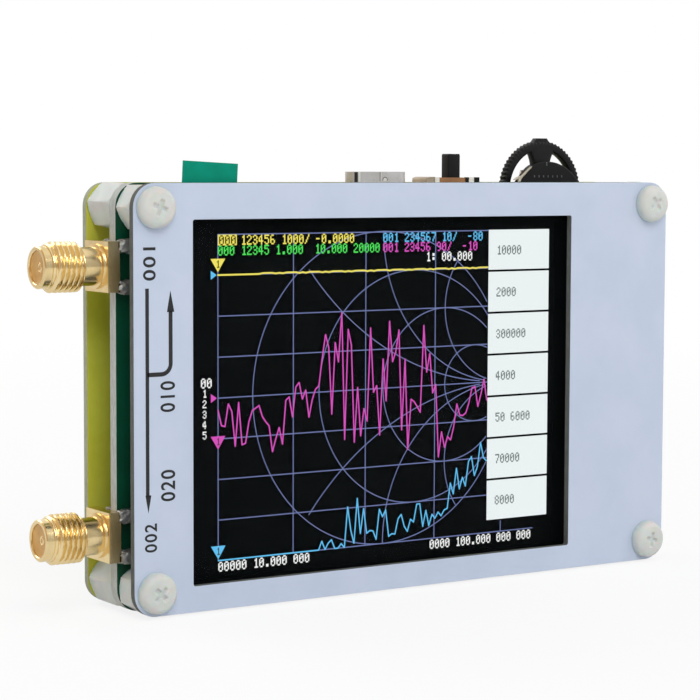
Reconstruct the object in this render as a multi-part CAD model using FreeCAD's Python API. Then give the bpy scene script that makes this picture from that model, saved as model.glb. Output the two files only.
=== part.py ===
# A pocket antenna analyzer: three stacked plates held apart by hexagon spacers, with two
# threaded ports on the left edge, a display behind the window of the front plate, and a
# socket, a slide switch and a thumb wheel on the top edge.
# Millimetres. +X to the right, +Y towards the back, +Z up. The origin is at the middle of the
# main board's thickness, halfway along the lower edge on which the analyzer stands.

import FreeCAD
import Part
import math
import os

V = FreeCAD.Vector
X_AXIS = V(1, 0, 0)
Y_AXIS = V(0, 1, 0)
Z_AXIS = V(0, 0, 1)

# Plates and board
plate_width = 85.5
plate_height = 54.0
plate_thickness = 1.0
plate_corner_radius = 3.0
board_thickness = 1.6
front_gap = 3.75
back_gap = 6.45

# Window in the front plate
window_left_margin = 8.35
window_right_margin = 17.15
window_bottom_margin = 3.3
window_top_margin = 4.55
window_corner_radius = 0.9

# Screws and spacers at the four corners
screw_inset = 3.0
screw_hole_radius = 1.6
screw_shank_radius = 1.45
screw_head_radius = 2.75
screw_head_height = 2.0
front_screw_length = 8.0
back_screw_length = 5.0
spacer_across_flats = 5.5
spacer_bore_radius = 1.6
spacer_thread_radius = 1.5
front_spacer_turns = (30, 0, 14, 42)
back_spacer_turns = (52, 49, 22, 8)

# Threaded ports on the left edge
port_top_margin = 10.4
port_bottom_margin = 9.75
port_axis_behind_board = 0.4
port_flange = 6.35
port_flange_thickness = 1.65
port_neck_radius = 2.5
port_neck_length = 1.75
port_thread_radius = 3.175
port_thread_length = 5.4
port_collar_radius = 2.65
port_collar_length = 1.1
port_bore_radius = 2.05
port_leg_width = 1.2
port_leg_length = 4.0
port_pin_side = 0.8
port_pin_length = 3.4
contact_radius = 0.64
contact_bore_radius = 0.46
contact_bore_depth = 3.0
contact_recess = 0.3
solder_margin = 0.45
solder_height = 0.7
solder_slope = 0.36

# Display module between the front plate and the board
display_width = 69.2
display_height = 50.0
display_left = -36.4
display_bottom = 0.96
film_thickness = 0.05
film_gap = 0.03
film_side_margin = 0.6
touch_thickness = 1.0
gasket_thickness = 0.2
gasket_border_x = 2.4
gasket_border_z = 2.4
gasket_flex_border = 8.4
glass_thickness = 0.55
glass_ledge = 4.5
glass_margin = 0.7
frame_wall = 0.6
frame_floor = 0.35
tape_thickness = 0.15
tape_margin = 3.0
driver_width = 1.4
driver_height = 19.0
driver_thickness = 0.3
driver_inset = 1.2
flex_thickness = 0.12
flex_height = 31.0
flex_bottom = 10.0
flex_grip = 1.9
flex_overhang = 0.2
flex_foot = 1.7
flex_clearance = 0.3

# Pull tab of the protective film
tab_left = -35.5
tab_width = 7.9
tab_height = 6.2
tab_hidden_height = 0.56
tab_thickness = 0.1
tab_lean = -2.9

# Socket on the top edge, behind the board
usb_middle = -1.9
usb_width = 8.94
usb_depth = 3.16
usb_overhang = 1.42
usb_length = 7.3
usb_wall = 0.3
usb_corner_radius = 1.45
usb_base_length = 1.9
usb_tongue_width = 6.7
usb_tongue_thickness = 0.7
usb_tongue_recess = 0.9
usb_contacts_per_side = 12
usb_contact_pitch = 0.5
usb_contact_width = 0.26
usb_contact_length = 3.6
usb_contact_thickness = 0.05
usb_contact_inset = 0.4

# Slide switch on the top edge, behind the board
switch_middle = 9.9
switch_width = 8.9
switch_depth = 3.6
switch_height = 4.3
switch_overhang = 0.5
switch_sheet = 0.3
switch_corner_radius = 0.6
switch_base_width = 5.6
switch_base_rise = 0.15
switch_travel = 1.5
lever_width = 3.05
lever_depth = 1.7
lever_rise = 3.37
lever_foot_depth = 2.5
lever_foot_height = 1.1
lever_lip = 0.9
lever_play = 0.1
lever_grooves = 3
lever_groove_width = 0.44
lever_groove_depth = 0.22
switch_pin_pitch = 2.0
switch_pin_width = 0.5
switch_pin_thickness = 0.3
switch_pin_drop = 2.2

# Thumb wheel on the top edge, behind the board
wheel_middle = 26.3
wheel_below_edge = 0.85
wheel_radius = 6.6
wheel_rim = 1.2
wheel_thickness = 1.3
wheel_front = 2.05
wheel_rim_degrees = 198.0
wheel_knurls = 37
wheel_knurl_depth = 0.22
wheel_hub_radius = 3.8
wheel_spoke_outer = 3.6
wheel_spoke_inner = 2.7
wheel_lug_width = 3.3
wheel_lug_rise = 0.42
axle_radius = 0.9
axle_clearance = 0.05
jog_play = 0.1
jog_base_width = 13.0
jog_base_overhang = 0.85
jog_base_height = 8.25
jog_corner_radius = 1.0
jog_base_thickness = 0.55
jog_rail_width = 1.0
jog_rail_height = 0.55
jog_rail_inset = 0.6
jog_teeth = 7
jog_tooth_width = 0.5
jog_tooth_depth = 0.45
jog_teeth_span = 8.06
carrier_width = 6.4
carrier_thickness = 0.5
carrier_tail = 5.2
jog_post_side = 1.3
jog_post_spread = 5.1
jog_post_below = 4.9
jog_cover_gap = 0.75
jog_cover_sheet = 0.2
jog_cover_above_axle = 0.55
jog_foot_width = 7.8
jog_spring_wire = 0.36
jog_spring_spread = 3.9
jog_spring_below_axle = 3.75
jog_spring_length = 6.3
jog_spring_lean = 1.7
jog_pin_count = 4
jog_pin_pitch = 2.6
jog_pin_width = 0.6
jog_pin_length = 1.3
jog_pin_thickness = 0.2

# Battery on the back plate
battery_width = 50.0
battery_height = 34.0
battery_thickness = 3.7
battery_left = -14.0
battery_top_margin = 14.0
battery_corner_radius = 1.6
battery_tape_thickness = 0.2
battery_tape_width = 40.0
battery_tape_height = 14.0
wire_radius = 0.45
wire_spacing = 1.4
wire_start = -3.8
wire_rise = 1.2
wire_turn = 3.0
wire_sides = 8
header_length = 5.2
header_width = 4.8
header_depth = 3.0
header_left = -19.0
header_above_cell = 3.7
header_wall = 0.4
plug_gap = 0.1

# Parts soldered to the back of the board
can_wall = 0.2
can_height = 2.3
can_width = 14.0
can_length = 13.0
can_left = -36.0
can_top_margin = 4.0
can_bottom_margin = 3.6
middle_can_offset = 0.1
chip_lift = 0.1
lead_reach = 0.9
lead_inset = 0.4
lead_thickness = 0.18
fit_gap = 0.02

# Bare chips and other single parts. A place is the middle along X, and how far it lies below
# the board's upper edge. A size is the width, the height and the thickness.
microcontroller_place = (-15.0, 21.0)
microcontroller_size = (7.0, 7.0, 0.9)
codec_place = (-15.0, 32.0)
codec_size = (5.0, 5.0, 0.9)
clock_place = (-16.0, 41.0)
clock_size = (3.0, 3.0, 0.9)
mixer_size = (4.0, 4.0, 0.9)
crystal_place = (-2.0, 13.0)
crystal_size = (5.0, 3.2, 1.0)
coil_place = (38.0, 18.0)
coil_size = (4.0, 4.0, 1.8)
lamp_place = (38.0, 7.0)
lamp_size = (0.8, 1.6, 0.6)

# Chips with feet on their left and right sides, with the number and spacing of a side's feet
charger_place = (10.0, 10.5)
charger_size = (3.9, 4.9, 1.5)
charger_feet = 4
charger_pitch = 1.27
regulator_places = ((16.5, 10.5), (37.5, 10.5))
regulator_size = (1.6, 2.9, 1.1)
regulator_feet = 2
regulator_pitch = 1.9

# Small two-ended parts, in two columns. Their place is that of the lowest row.
capacitor_place = (-6.0, 46.0)
capacitor_size = (1.6, 0.8, 0.8)
resistor_place = (1.0, 46.0)
resistor_size = (1.6, 0.8, 0.45)
small_part_rows = 7
small_part_pitch = 2.4

# Planes of the stack along Y
board_front = -board_thickness / 2
board_back = board_thickness / 2
front_plate_back = board_front - front_gap
front_plate_front = front_plate_back - plate_thickness
back_plate_inner = board_back + back_gap
back_plate_outer = back_plate_inner + plate_thickness
board_edge = plate_width / 2

# The window, the ports, the top edge's parts and the battery, placed from the plates' edges
window_left = window_left_margin - board_edge
window_right = board_edge - window_right_margin
window_top = plate_height - window_top_margin
port_heights = (plate_height - port_top_margin, port_bottom_margin)
usb_top = plate_height + usb_overhang
switch_top = plate_height + switch_overhang
switch_bottom = switch_top - switch_height
lever_top = switch_top + lever_rise
wheel_height = plate_height - wheel_below_edge
jog_base_top = plate_height + jog_base_overhang
jog_base_bottom = jog_base_top - jog_base_height
battery_top = plate_height - battery_top_margin
battery_bottom = battery_top - battery_height
header_bottom = battery_top + header_above_cell

# Lower edges of the three shield cans: the upper one, the middle one and the lower one
highest_can = plate_height - can_top_margin - can_length
middle_can = (highest_can + can_bottom_margin) / 2 + middle_can_offset
can_bottoms = (highest_can, middle_can, can_bottom_margin)

# Planes of the display along Y, from the film to the tape
film_front = front_plate_back + film_gap
touch_front = film_front + film_thickness + tab_thickness
gasket_front = touch_front + touch_thickness
front_glass_front = gasket_front + gasket_thickness
rear_glass_front = front_glass_front + glass_thickness
backlight_front = rear_glass_front + glass_thickness
tape_front = board_front - tape_thickness
display_right = display_left + display_width
display_top = display_bottom + display_height

# Port axis, socket axis and switch axis along Y
port_axis_y = board_back + port_axis_behind_board
usb_axis_y = board_back + usb_depth / 2
switch_axis_y = board_back + switch_depth / 2
port_flange_left = -board_edge - port_flange_thickness
port_length = port_neck_length + port_thread_length + port_collar_length


def box(x0, x1, y0, y1, z0, z1):
    return Part.makeBox(x1 - x0, y1 - y0, z1 - z0, V(x0, y0, z0))


def along(shape, axis):
    """Straight edges of a shape that run along an axis."""
    edges = []
    for edge in shape.Edges:
        start, end = edge.Vertexes[0].Point, edge.Vertexes[-1].Point
        if len(edge.Vertexes) == 2 and (end - start).cross(axis).Length < 1e-6:
            edges.append(edge)
    return edges


def rounded(shape, axis, radius):
    """The shape with its edges along one axis rounded."""
    return shape.makeFillet(radius, along(shape, axis))


def rod(start, axis, radius, length):
    return Part.makeCylinder(radius, length, start, axis)


def at_circle(middle_x, middle_z, radius, degrees, y):
    """A point on a circle that faces the front, measured from +X towards +Z."""
    turn = math.radians(degrees)
    return V(middle_x + radius * math.cos(turn), y, middle_z + radius * math.sin(turn))


def prism(points, depth):
    """A flat outline drawn at one Y, drawn out towards the back."""
    face = Part.Face(Part.makePolygon(points + points[:1]))
    return face.extrude(V(0, depth, 0))


def corner_places():
    """Middles of the four corner screws: lower left, upper left, lower right, upper right."""
    places = []
    for side in (-1, 1):
        for height in (screw_inset, plate_height - screw_inset):
            places.append((side * (board_edge - screw_inset), height))
    return places


def plate(front, thickness):
    body = box(-board_edge, board_edge, front, front + thickness, 0, plate_height)
    body = rounded(body, Y_AXIS, plate_corner_radius)
    for x, z in corner_places():
        body = body.cut(rod(V(x, front, z), Y_AXIS, screw_hole_radius, thickness))
    return body


def front_plate():
    window = box(
        window_left, window_right,
        front_plate_front, front_plate_back,
        window_bottom_margin, window_top,
    )
    window = rounded(window, Y_AXIS, window_corner_radius)
    return plate(front_plate_front, plate_thickness).cut(window)


def main_board():
    return plate(board_front, board_thickness)


def back_plate():
    return plate(back_plate_inner, plate_thickness)


def screw(x, z, seat, length, inward):
    """A screw whose head sits on a plate and whose shank points inward (+1 or -1)."""
    middle = V(x, seat, z)
    outward = V(0, -inward, 0)
    head = rod(middle, outward, screw_head_radius, screw_head_height)
    return head.fuse(rod(middle, -outward, screw_shank_radius, length))


def front_screws():
    return [screw(x, z, front_plate_front, front_screw_length, 1) for x, z in corner_places()]


def back_screws():
    return [screw(x, z, back_plate_outer, back_screw_length, -1) for x, z in corner_places()]


def spacer(x, z, front, length, bore_radius, turn):
    """A hexagon spacer, turned to the angle at which it was tightened."""
    corner_radius = spacer_across_flats / math.sqrt(3)
    corners = [at_circle(x, z, corner_radius, turn + 60 * k, front) for k in range(6)]
    bore = rod(V(x, front, z), Y_AXIS, bore_radius, length)
    return prism(corners, length).cut(bore)


def front_standoffs():
    places = zip(corner_places(), front_spacer_turns)
    return [
        spacer(x, z, front_plate_back, front_gap, spacer_bore_radius, turn)
        for (x, z), turn in places
    ]


def back_standoffs():
    places = zip(corner_places(), back_spacer_turns)
    return [
        spacer(x, z, board_back, back_gap, spacer_thread_radius, turn)
        for (x, z), turn in places
    ]


def port_legs(height):
    """The four legs of a port, which grip the board's edge from both faces."""
    half = port_flange / 2
    front = port_axis_y - half
    legs = []
    for lower in (height - half, height + half - port_leg_width):
        for y0, y1 in ((front, board_front), (board_back, board_back + port_leg_width)):
            legs.append(box(
                -board_edge, -board_edge + port_leg_length,
                y0, y1,
                lower, lower + port_leg_width,
            ))
    return legs


def port_body(height):
    """Flange, neck, threaded barrel and plain collar, bored through for the insulator."""
    half = port_flange / 2
    body = box(
        port_flange_left, -board_edge,
        port_axis_y - half, port_axis_y + half,
        height - half, height + half,
    )
    body = body.multiFuse(port_legs(height))
    taper = port_thread_radius - port_collar_radius
    steps = (
        (port_neck_radius, port_neck_radius, port_neck_length),
        (port_thread_radius, port_thread_radius, port_thread_length - taper),
        (port_thread_radius, port_collar_radius, taper),
        (port_collar_radius, port_collar_radius, port_collar_length),
    )
    x = port_flange_left
    for start_radius, end_radius, length in steps:
        place = V(x, port_axis_y, height)
        if start_radius == end_radius:
            body = body.fuse(rod(place, -X_AXIS, start_radius, length))
        else:
            body = body.fuse(Part.makeCone(start_radius, end_radius, length, place, -X_AXIS))
        x -= length
    bore = rod(V(-board_edge, port_axis_y, height), -X_AXIS, port_bore_radius,
               port_flange_thickness + port_length)
    return body.cut(bore).removeSplitter()


def port_insulator(height):
    length = port_flange_thickness + port_length
    start = V(-board_edge, port_axis_y, height)
    body = rod(start, -X_AXIS, port_bore_radius - fit_gap, length)
    socket = rod(start, -X_AXIS, contact_radius + fit_gap, length)
    return body.cut(socket)


def port_contact(height):
    """A socket contact with a square tail that lies on the back of the board."""
    start = V(-board_edge, port_axis_y, height)
    length = port_flange_thickness + port_length - contact_recess
    half = port_pin_side / 2
    tail = box(
        -board_edge, -board_edge + port_pin_length,
        port_axis_y - half, port_axis_y + half,
        height - half, height + half,
    )
    body = rod(start, -X_AXIS, contact_radius, length).fuse(tail)
    mouth = V(-board_edge - length, port_axis_y, height)
    return body.cut(rod(mouth, X_AXIS, contact_bore_radius, contact_bore_depth))


def port_solder():
    """Solder banked up around every leg, sloping down to the board."""
    banks = []
    for height in port_heights:
        for leg in port_legs(height):
            edge = leg.BoundBox
            on_front = edge.YMax <= board_front + fit_gap
            y0 = board_front - solder_height if on_front else board_back
            bank = box(
                -board_edge, edge.XMax + solder_margin,
                y0, y0 + solder_height,
                edge.ZMin - solder_margin, edge.ZMax + solder_margin,
            )
            crest_y = y0 if on_front else y0 + solder_height
            crest = [
                e for e in bank.Edges
                if all(abs(v.Point.y - crest_y) < 1e-6 for v in e.Vertexes)
                and any(v.Point.x > -board_edge + 1e-6 for v in e.Vertexes)
            ]
            bank = bank.makeChamfer(solder_slope, crest)
            banks.append(bank.cut(leg))
    return banks


def display_slab(front, thickness, left_margin, right_margin, height_margin):
    """A flat layer of the display module, in from the module's edges by the margins."""
    return box(
        display_left + left_margin, display_right - right_margin,
        front, front + thickness,
        display_bottom + height_margin, display_top - height_margin,
    )


def screen_film():
    return display_slab(film_front, film_thickness, film_side_margin, film_side_margin,
                        film_side_margin)


def film_tab():
    """The film's pull tab, which leans to one side and stands above the top edge."""
    bottom = display_top - tab_hidden_height
    front = film_front + film_thickness
    body = box(tab_left, tab_left + tab_width, front, front + tab_thickness, bottom,
               bottom + tab_height)
    body.rotate(V(tab_left + tab_width / 2, 0, bottom), Y_AXIS, -tab_lean)
    return body


def touch_panel():
    return display_slab(touch_front, touch_thickness, 0, 0, 0)


def touch_gasket():
    body = display_slab(gasket_front, gasket_thickness, 0, 0, 0)
    opening = display_slab(gasket_front, gasket_thickness, gasket_border_x,
                           gasket_flex_border, gasket_border_z)
    return body.cut(opening)


def lcd_front_glass():
    return display_slab(front_glass_front, glass_thickness, glass_margin,
                        glass_margin + glass_ledge, glass_margin)


def lcd_rear_glass():
    return display_slab(rear_glass_front, glass_thickness, glass_margin, glass_margin,
                        glass_margin)


def lcd_driver():
    middle_z = display_bottom + display_height / 2
    left = display_right - glass_margin - glass_ledge + driver_inset
    return box(
        left, left + driver_width,
        rear_glass_front - driver_thickness, rear_glass_front,
        middle_z - driver_height / 2, middle_z + driver_height / 2,
    )


def backlight_frame():
    """A moulded tray whose rim stands up around the glass and holds the light guide."""
    body = box(
        display_left, display_right,
        front_glass_front, tape_front,
        display_bottom, display_top,
    )
    body = rounded(body, Y_AXIS, frame_wall)
    glass_room = box(
        display_left + frame_wall, display_right - frame_wall,
        front_glass_front, backlight_front,
        display_bottom + frame_wall, display_top - frame_wall,
    )
    guide_room = light_guide_box(0)
    flex_way = box(
        display_right - frame_wall, display_right,
        front_glass_front, rear_glass_front,
        flex_bottom - flex_clearance, flex_bottom + flex_height + flex_clearance,
    )
    return body.cut(glass_room).cut(guide_room).cut(flex_way)


def light_guide_box(gap):
    margin = 2 * frame_wall + gap
    return box(
        display_left + margin, display_right - margin,
        backlight_front, tape_front - frame_floor,
        display_bottom + margin, display_top - margin,
    )


def light_guide():
    return light_guide_box(fit_gap)


def display_tape():
    return display_slab(tape_front, tape_thickness, tape_margin, tape_margin, tape_margin)


def flex_outline(top, bottom, start_x, bend_x):
    """A ribbon's edge: out along the upper level, round a half circle, and back on the board."""
    upper = top + flex_thickness
    lower = bottom - flex_thickness
    middle = (top + bottom) / 2
    outer = (bottom - top) / 2
    inner = outer - flex_thickness
    foot_x = bend_x - flex_foot
    return [
        Part.makeLine(V(start_x, top, 0), V(bend_x, top, 0)),
        Part.Arc(V(bend_x, top, 0), V(bend_x + outer, middle, 0), V(bend_x, bottom, 0)).toShape(),
        Part.makeLine(V(bend_x, bottom, 0), V(foot_x, bottom, 0)),
        Part.makeLine(V(foot_x, bottom, 0), V(foot_x, lower, 0)),
        Part.makeLine(V(foot_x, lower, 0), V(bend_x, lower, 0)),
        Part.Arc(V(bend_x, lower, 0), V(bend_x + inner, middle, 0), V(bend_x, upper, 0)).toShape(),
        Part.makeLine(V(bend_x, upper, 0), V(start_x, upper, 0)),
        Part.makeLine(V(start_x, upper, 0), V(start_x, top, 0)),
    ]


def lcd_flex():
    """The display's ribbon, which leaves the glass ledge and folds down onto the board."""
    top = rear_glass_front - flex_thickness
    start_x = display_right - glass_margin - flex_grip
    wire = Part.Wire(flex_outline(top, board_front, start_x, display_right + flex_overhang))
    body = Part.Face(wire).extrude(V(0, 0, flex_height))
    body.translate(V(0, 0, flex_bottom))
    return body


def usb_shell():
    half = usb_width / 2
    bottom = usb_top - usb_length
    shell = box(usb_middle - half, usb_middle + half, board_back, board_back + usb_depth,
                bottom, usb_top)
    shell = rounded(shell, Z_AXIS, usb_corner_radius)
    room = box(
        usb_middle - half + usb_wall, usb_middle + half - usb_wall,
        board_back + usb_wall, board_back + usb_depth - usb_wall,
        bottom, usb_top,
    )
    room = rounded(room, Z_AXIS, usb_corner_radius - usb_wall)
    return shell.cut(room)


def usb_tongue():
    """The black block at the socket's foot and the tongue that stands up from it."""
    half = usb_width / 2 - usb_wall - fit_gap
    bottom = usb_top - usb_length
    block = box(
        usb_middle - half, usb_middle + half,
        board_back + usb_wall + fit_gap, board_back + usb_depth - usb_wall - fit_gap,
        bottom, bottom + usb_base_length,
    )
    block = rounded(block, Z_AXIS, usb_corner_radius - usb_wall - fit_gap)
    tongue = box(
        usb_middle - usb_tongue_width / 2, usb_middle + usb_tongue_width / 2,
        usb_axis_y - usb_tongue_thickness / 2, usb_axis_y + usb_tongue_thickness / 2,
        bottom + usb_base_length, usb_top - usb_tongue_recess,
    )
    return block.fuse(tongue)


def usb_contacts():
    first = usb_middle - usb_contact_pitch * (usb_contacts_per_side - 1) / 2
    top = usb_top - usb_tongue_recess - usb_contact_inset
    strips = []
    for side in (-1, 1):
        face = usb_axis_y + side * usb_tongue_thickness / 2
        y0 = min(face, face + side * usb_contact_thickness)
        for k in range(usb_contacts_per_side):
            x = first + k * usb_contact_pitch
            strips.append(box(
                x - usb_contact_width / 2, x + usb_contact_width / 2,
                y0, y0 + usb_contact_thickness,
                top - usb_contact_length, top,
            ))
    return strips


def switch_frame():
    """A sheet metal can, open towards the board and over the middle of its top."""
    half = switch_width / 2
    body = box(
        switch_middle - half, switch_middle + half,
        board_back, board_back + switch_depth,
        switch_bottom, switch_top,
    )
    body = rounded(body, Y_AXIS, switch_corner_radius)
    room = box(
        switch_middle - half + switch_sheet, switch_middle + half - switch_sheet,
        board_back, board_back + switch_depth - switch_sheet,
        switch_bottom, switch_top - switch_sheet,
    )
    gap = box(
        switch_middle - switch_base_width / 2, switch_middle + switch_base_width / 2,
        board_back, board_back + switch_depth - switch_sheet,
        switch_top - switch_sheet, switch_top,
    )
    return body.cut(room).cut(gap)


def lever_left():
    """Left side of the lever at rest, at the right end of its travel."""
    return switch_middle + (switch_travel - lever_width) / 2


def switch_base():
    """The brown block with the undercut slot that keeps the lever in."""
    half = switch_base_width / 2
    top = switch_top + switch_base_rise
    body = box(
        switch_middle - half, switch_middle + half,
        board_back, board_back + switch_depth - switch_sheet,
        switch_bottom, top,
    )
    slot_half = (lever_width + switch_travel) / 2 + lever_play
    y_half = lever_depth / 2 + lever_play
    foot_half = lever_foot_depth / 2 + lever_play
    foot_top = top - lever_lip
    foot_bottom = foot_top - lever_foot_height - 2 * lever_play
    slot = box(
        switch_middle - slot_half, switch_middle + slot_half,
        switch_axis_y - y_half, switch_axis_y + y_half,
        foot_bottom, top,
    )
    undercut = box(
        switch_middle - slot_half, switch_middle + slot_half,
        switch_axis_y - foot_half, switch_axis_y + foot_half,
        foot_bottom, foot_top,
    )
    return body.cut(slot).cut(undercut)


def power_lever():
    """The switch's knob: a stem with finger grooves across its top, on a wider foot."""
    left = lever_left()
    foot_top = switch_top + switch_base_rise - lever_lip - lever_play
    foot_bottom = foot_top - lever_foot_height
    front = switch_axis_y - lever_depth / 2
    outline = [V(left, front, foot_bottom), V(left, front, lever_top)]
    for k in range(lever_grooves):
        x = left + lever_width * (k + 1) / (lever_grooves + 1)
        outline.append(V(x - lever_groove_width / 2, front, lever_top))
        outline.append(V(x, front, lever_top - lever_groove_depth))
        outline.append(V(x + lever_groove_width / 2, front, lever_top))
    outline.append(V(left + lever_width, front, lever_top))
    outline.append(V(left + lever_width, front, foot_bottom))
    foot = box(
        left, left + lever_width,
        switch_axis_y - lever_foot_depth / 2, switch_axis_y + lever_foot_depth / 2,
        foot_bottom, foot_top,
    )
    return prism(outline, lever_depth).fuse(foot).removeSplitter()


def switch_terminals():
    pins = []
    for k in (-1, 0, 1):
        x = switch_middle + k * switch_pin_pitch
        pins.append(box(
            x - switch_pin_width / 2, x + switch_pin_width / 2,
            board_back, board_back + switch_pin_thickness,
            switch_bottom - switch_pin_drop, switch_bottom,
        ))
    return pins


def knurled_rim():
    """A little more than half a ring, with a row of small notches round its outer edge."""
    pitch = wheel_rim_degrees / wheel_knurls
    start = 90 - wheel_rim_degrees / 2
    root = wheel_radius - wheel_knurl_depth
    edge = []
    for k in range(wheel_knurls):
        for radius, turn in ((wheel_radius, k), (root, k + 0.5)):
            degrees = start + turn * pitch
            edge.append(at_circle(wheel_middle, wheel_height, radius, degrees, wheel_front))
    edge.append(at_circle(wheel_middle, wheel_height, wheel_radius, start + wheel_rim_degrees,
                          wheel_front))
    hollow = rod(V(wheel_middle, wheel_front, wheel_height), Y_AXIS, wheel_radius - wheel_rim,
                 wheel_thickness)
    return prism(edge, wheel_thickness).cut(hollow)


def wheel_slab(low, low_width, high, high_width):
    """A flat piece of the wheel between two heights, with a width at each."""
    return prism(
        [
            V(wheel_middle - low_width / 2, wheel_front, low),
            V(wheel_middle + low_width / 2, wheel_front, low),
            V(wheel_middle + high_width / 2, wheel_front, high),
            V(wheel_middle - high_width / 2, wheel_front, high),
        ],
        wheel_thickness,
    )


def jog_wheel():
    """Half a rim on one broad spoke, with a hub that turns on the carrier's axle."""
    middle = V(wheel_middle, wheel_front, wheel_height)
    crown = wheel_height + wheel_radius - wheel_rim / 2
    lug_top = wheel_height + wheel_radius + wheel_lug_rise
    spoke = wheel_slab(wheel_height, wheel_spoke_inner, crown, wheel_spoke_outer)
    lug = wheel_slab(crown, wheel_lug_width + 2 * wheel_lug_rise, lug_top, wheel_lug_width)
    hub = rod(middle, Y_AXIS, wheel_hub_radius, wheel_thickness)
    bore = rod(middle, Y_AXIS, axle_radius + axle_clearance, wheel_thickness)
    return knurled_rim().multiFuse([spoke, lug, hub]).cut(bore).removeSplitter()


def carrier_front():
    return board_back + jog_base_thickness + jog_play / 2


def jog_carrier():
    """The part that dips when the wheel is pressed: a sliding tongue with the axle."""
    front = carrier_front()
    half = carrier_width / 2
    tongue = box(
        wheel_middle - half, wheel_middle + half,
        front, front + carrier_thickness,
        wheel_height - carrier_tail, wheel_height,
    )
    disc = rod(V(wheel_middle, front, wheel_height), Y_AXIS, half, carrier_thickness)
    axle_length = wheel_front + wheel_thickness + jog_play - front
    axle = rod(V(wheel_middle, front, wheel_height), Y_AXIS, axle_radius, axle_length)
    return tongue.multiFuse([disc, axle]).removeSplitter()


def jog_base():
    """The black base on the board: two rails, posts for the cover and a toothed top edge."""
    half = jog_base_width / 2
    back = board_back + jog_base_thickness
    body = box(wheel_middle - half, wheel_middle + half, board_back, back,
               jog_base_bottom, jog_base_top)
    body = rounded(body, Y_AXIS, jog_corner_radius)
    for side in (-1, 1):
        x = wheel_middle + side * (carrier_width / 2 + jog_play + jog_rail_width / 2)
        body = body.fuse(box(
            x - jog_rail_width / 2, x + jog_rail_width / 2,
            back, back + jog_rail_height,
            jog_base_bottom + jog_rail_inset, wheel_height - jog_rail_inset,
        ))
        x = wheel_middle + side * jog_post_spread
        z = wheel_height - jog_post_below
        body = body.fuse(box(
            x - jog_post_side / 2, x + jog_post_side / 2,
            back, cover_front(),
            z - jog_post_side / 2, z + jog_post_side / 2,
        ))
    pitch = jog_teeth_span / (jog_teeth - 1)
    for k in range(jog_teeth):
        x = wheel_middle - jog_teeth_span / 2 + k * pitch
        body = body.cut(box(
            x - jog_tooth_width / 2, x + jog_tooth_width / 2,
            board_back, back,
            jog_base_top - jog_tooth_depth, jog_base_top,
        ))
    return body.removeSplitter()


def cover_front():
    return wheel_front + wheel_thickness + jog_cover_gap


def jog_cover():
    """The sheet metal cover that lies on the base's posts behind the wheel."""
    half = jog_base_width / 2
    back = cover_front() + jog_cover_sheet
    body = box(wheel_middle - half, wheel_middle + half, cover_front(), back,
               jog_base_bottom, wheel_height + jog_cover_above_axle)
    body = rounded(body, Y_AXIS, jog_corner_radius)
    foot = box(
        wheel_middle - jog_foot_width / 2, wheel_middle + jog_foot_width / 2,
        board_back, back,
        jog_base_bottom - jog_cover_sheet, jog_base_bottom,
    )
    return body.fuse(foot).removeSplitter()


def jog_spring():
    """A bent spring behind the wheel, whose two arms bring it back to the middle."""
    y = cover_front() - jog_spring_wire
    foot = wheel_height - jog_spring_below_axle
    tip = foot + jog_spring_length
    outer = jog_spring_spread + jog_spring_wire / 2
    inner = outer - jog_spring_wire
    right = [
        (inner, foot + jog_spring_wire),
        (inner - jog_spring_lean, tip),
        (outer - jog_spring_lean, tip),
        (outer, foot),
    ]
    outline = [V(wheel_middle + x, y, z) for x, z in right]
    outline += [V(wheel_middle - x, y, z) for x, z in reversed(right)]
    return prism(outline, jog_spring_wire)


def jog_terminals():
    first = wheel_middle - jog_pin_pitch * (jog_pin_count - 1) / 2
    pins = []
    for k in range(jog_pin_count):
        x = first + k * jog_pin_pitch
        pins.append(box(
            x - jog_pin_width / 2, x + jog_pin_width / 2,
            board_back, board_back + jog_pin_thickness,
            jog_base_bottom - jog_cover_sheet - jog_pin_length,
            jog_base_bottom - jog_cover_sheet,
        ))
    return pins


def battery_back():
    return back_plate_inner - battery_tape_thickness


def battery_cell():
    body = box(
        battery_left, battery_left + battery_width,
        battery_back() - battery_thickness, battery_back(),
        battery_bottom, battery_bottom + battery_height,
    )
    body = rounded(body, X_AXIS, battery_corner_radius)
    return body


def battery_tape():
    middle_x = battery_left + battery_width / 2
    middle_z = battery_bottom + battery_height / 2
    return box(
        middle_x - battery_tape_width / 2, middle_x + battery_tape_width / 2,
        battery_back(), back_plate_inner,
        middle_z - battery_tape_height / 2, middle_z + battery_tape_height / 2,
    )


def header_y():
    return board_back + header_depth


def battery_header():
    """The socket for the battery plug: a small tray, open at its right side."""
    body = box(header_left, header_left + header_length, board_back, header_y(),
               header_bottom, header_bottom + header_width)
    room = box(
        header_left + header_wall, header_left + header_length,
        board_back + header_wall, header_y(),
        header_bottom + header_wall, header_bottom + header_width - header_wall,
    )
    return body.cut(room)


def battery_plug():
    gap = header_wall + plug_gap
    return box(
        header_left + gap, header_left + header_length - plug_gap,
        board_back + gap, header_y() - plug_gap,
        header_bottom + gap, header_bottom + header_width - gap,
    )


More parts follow.
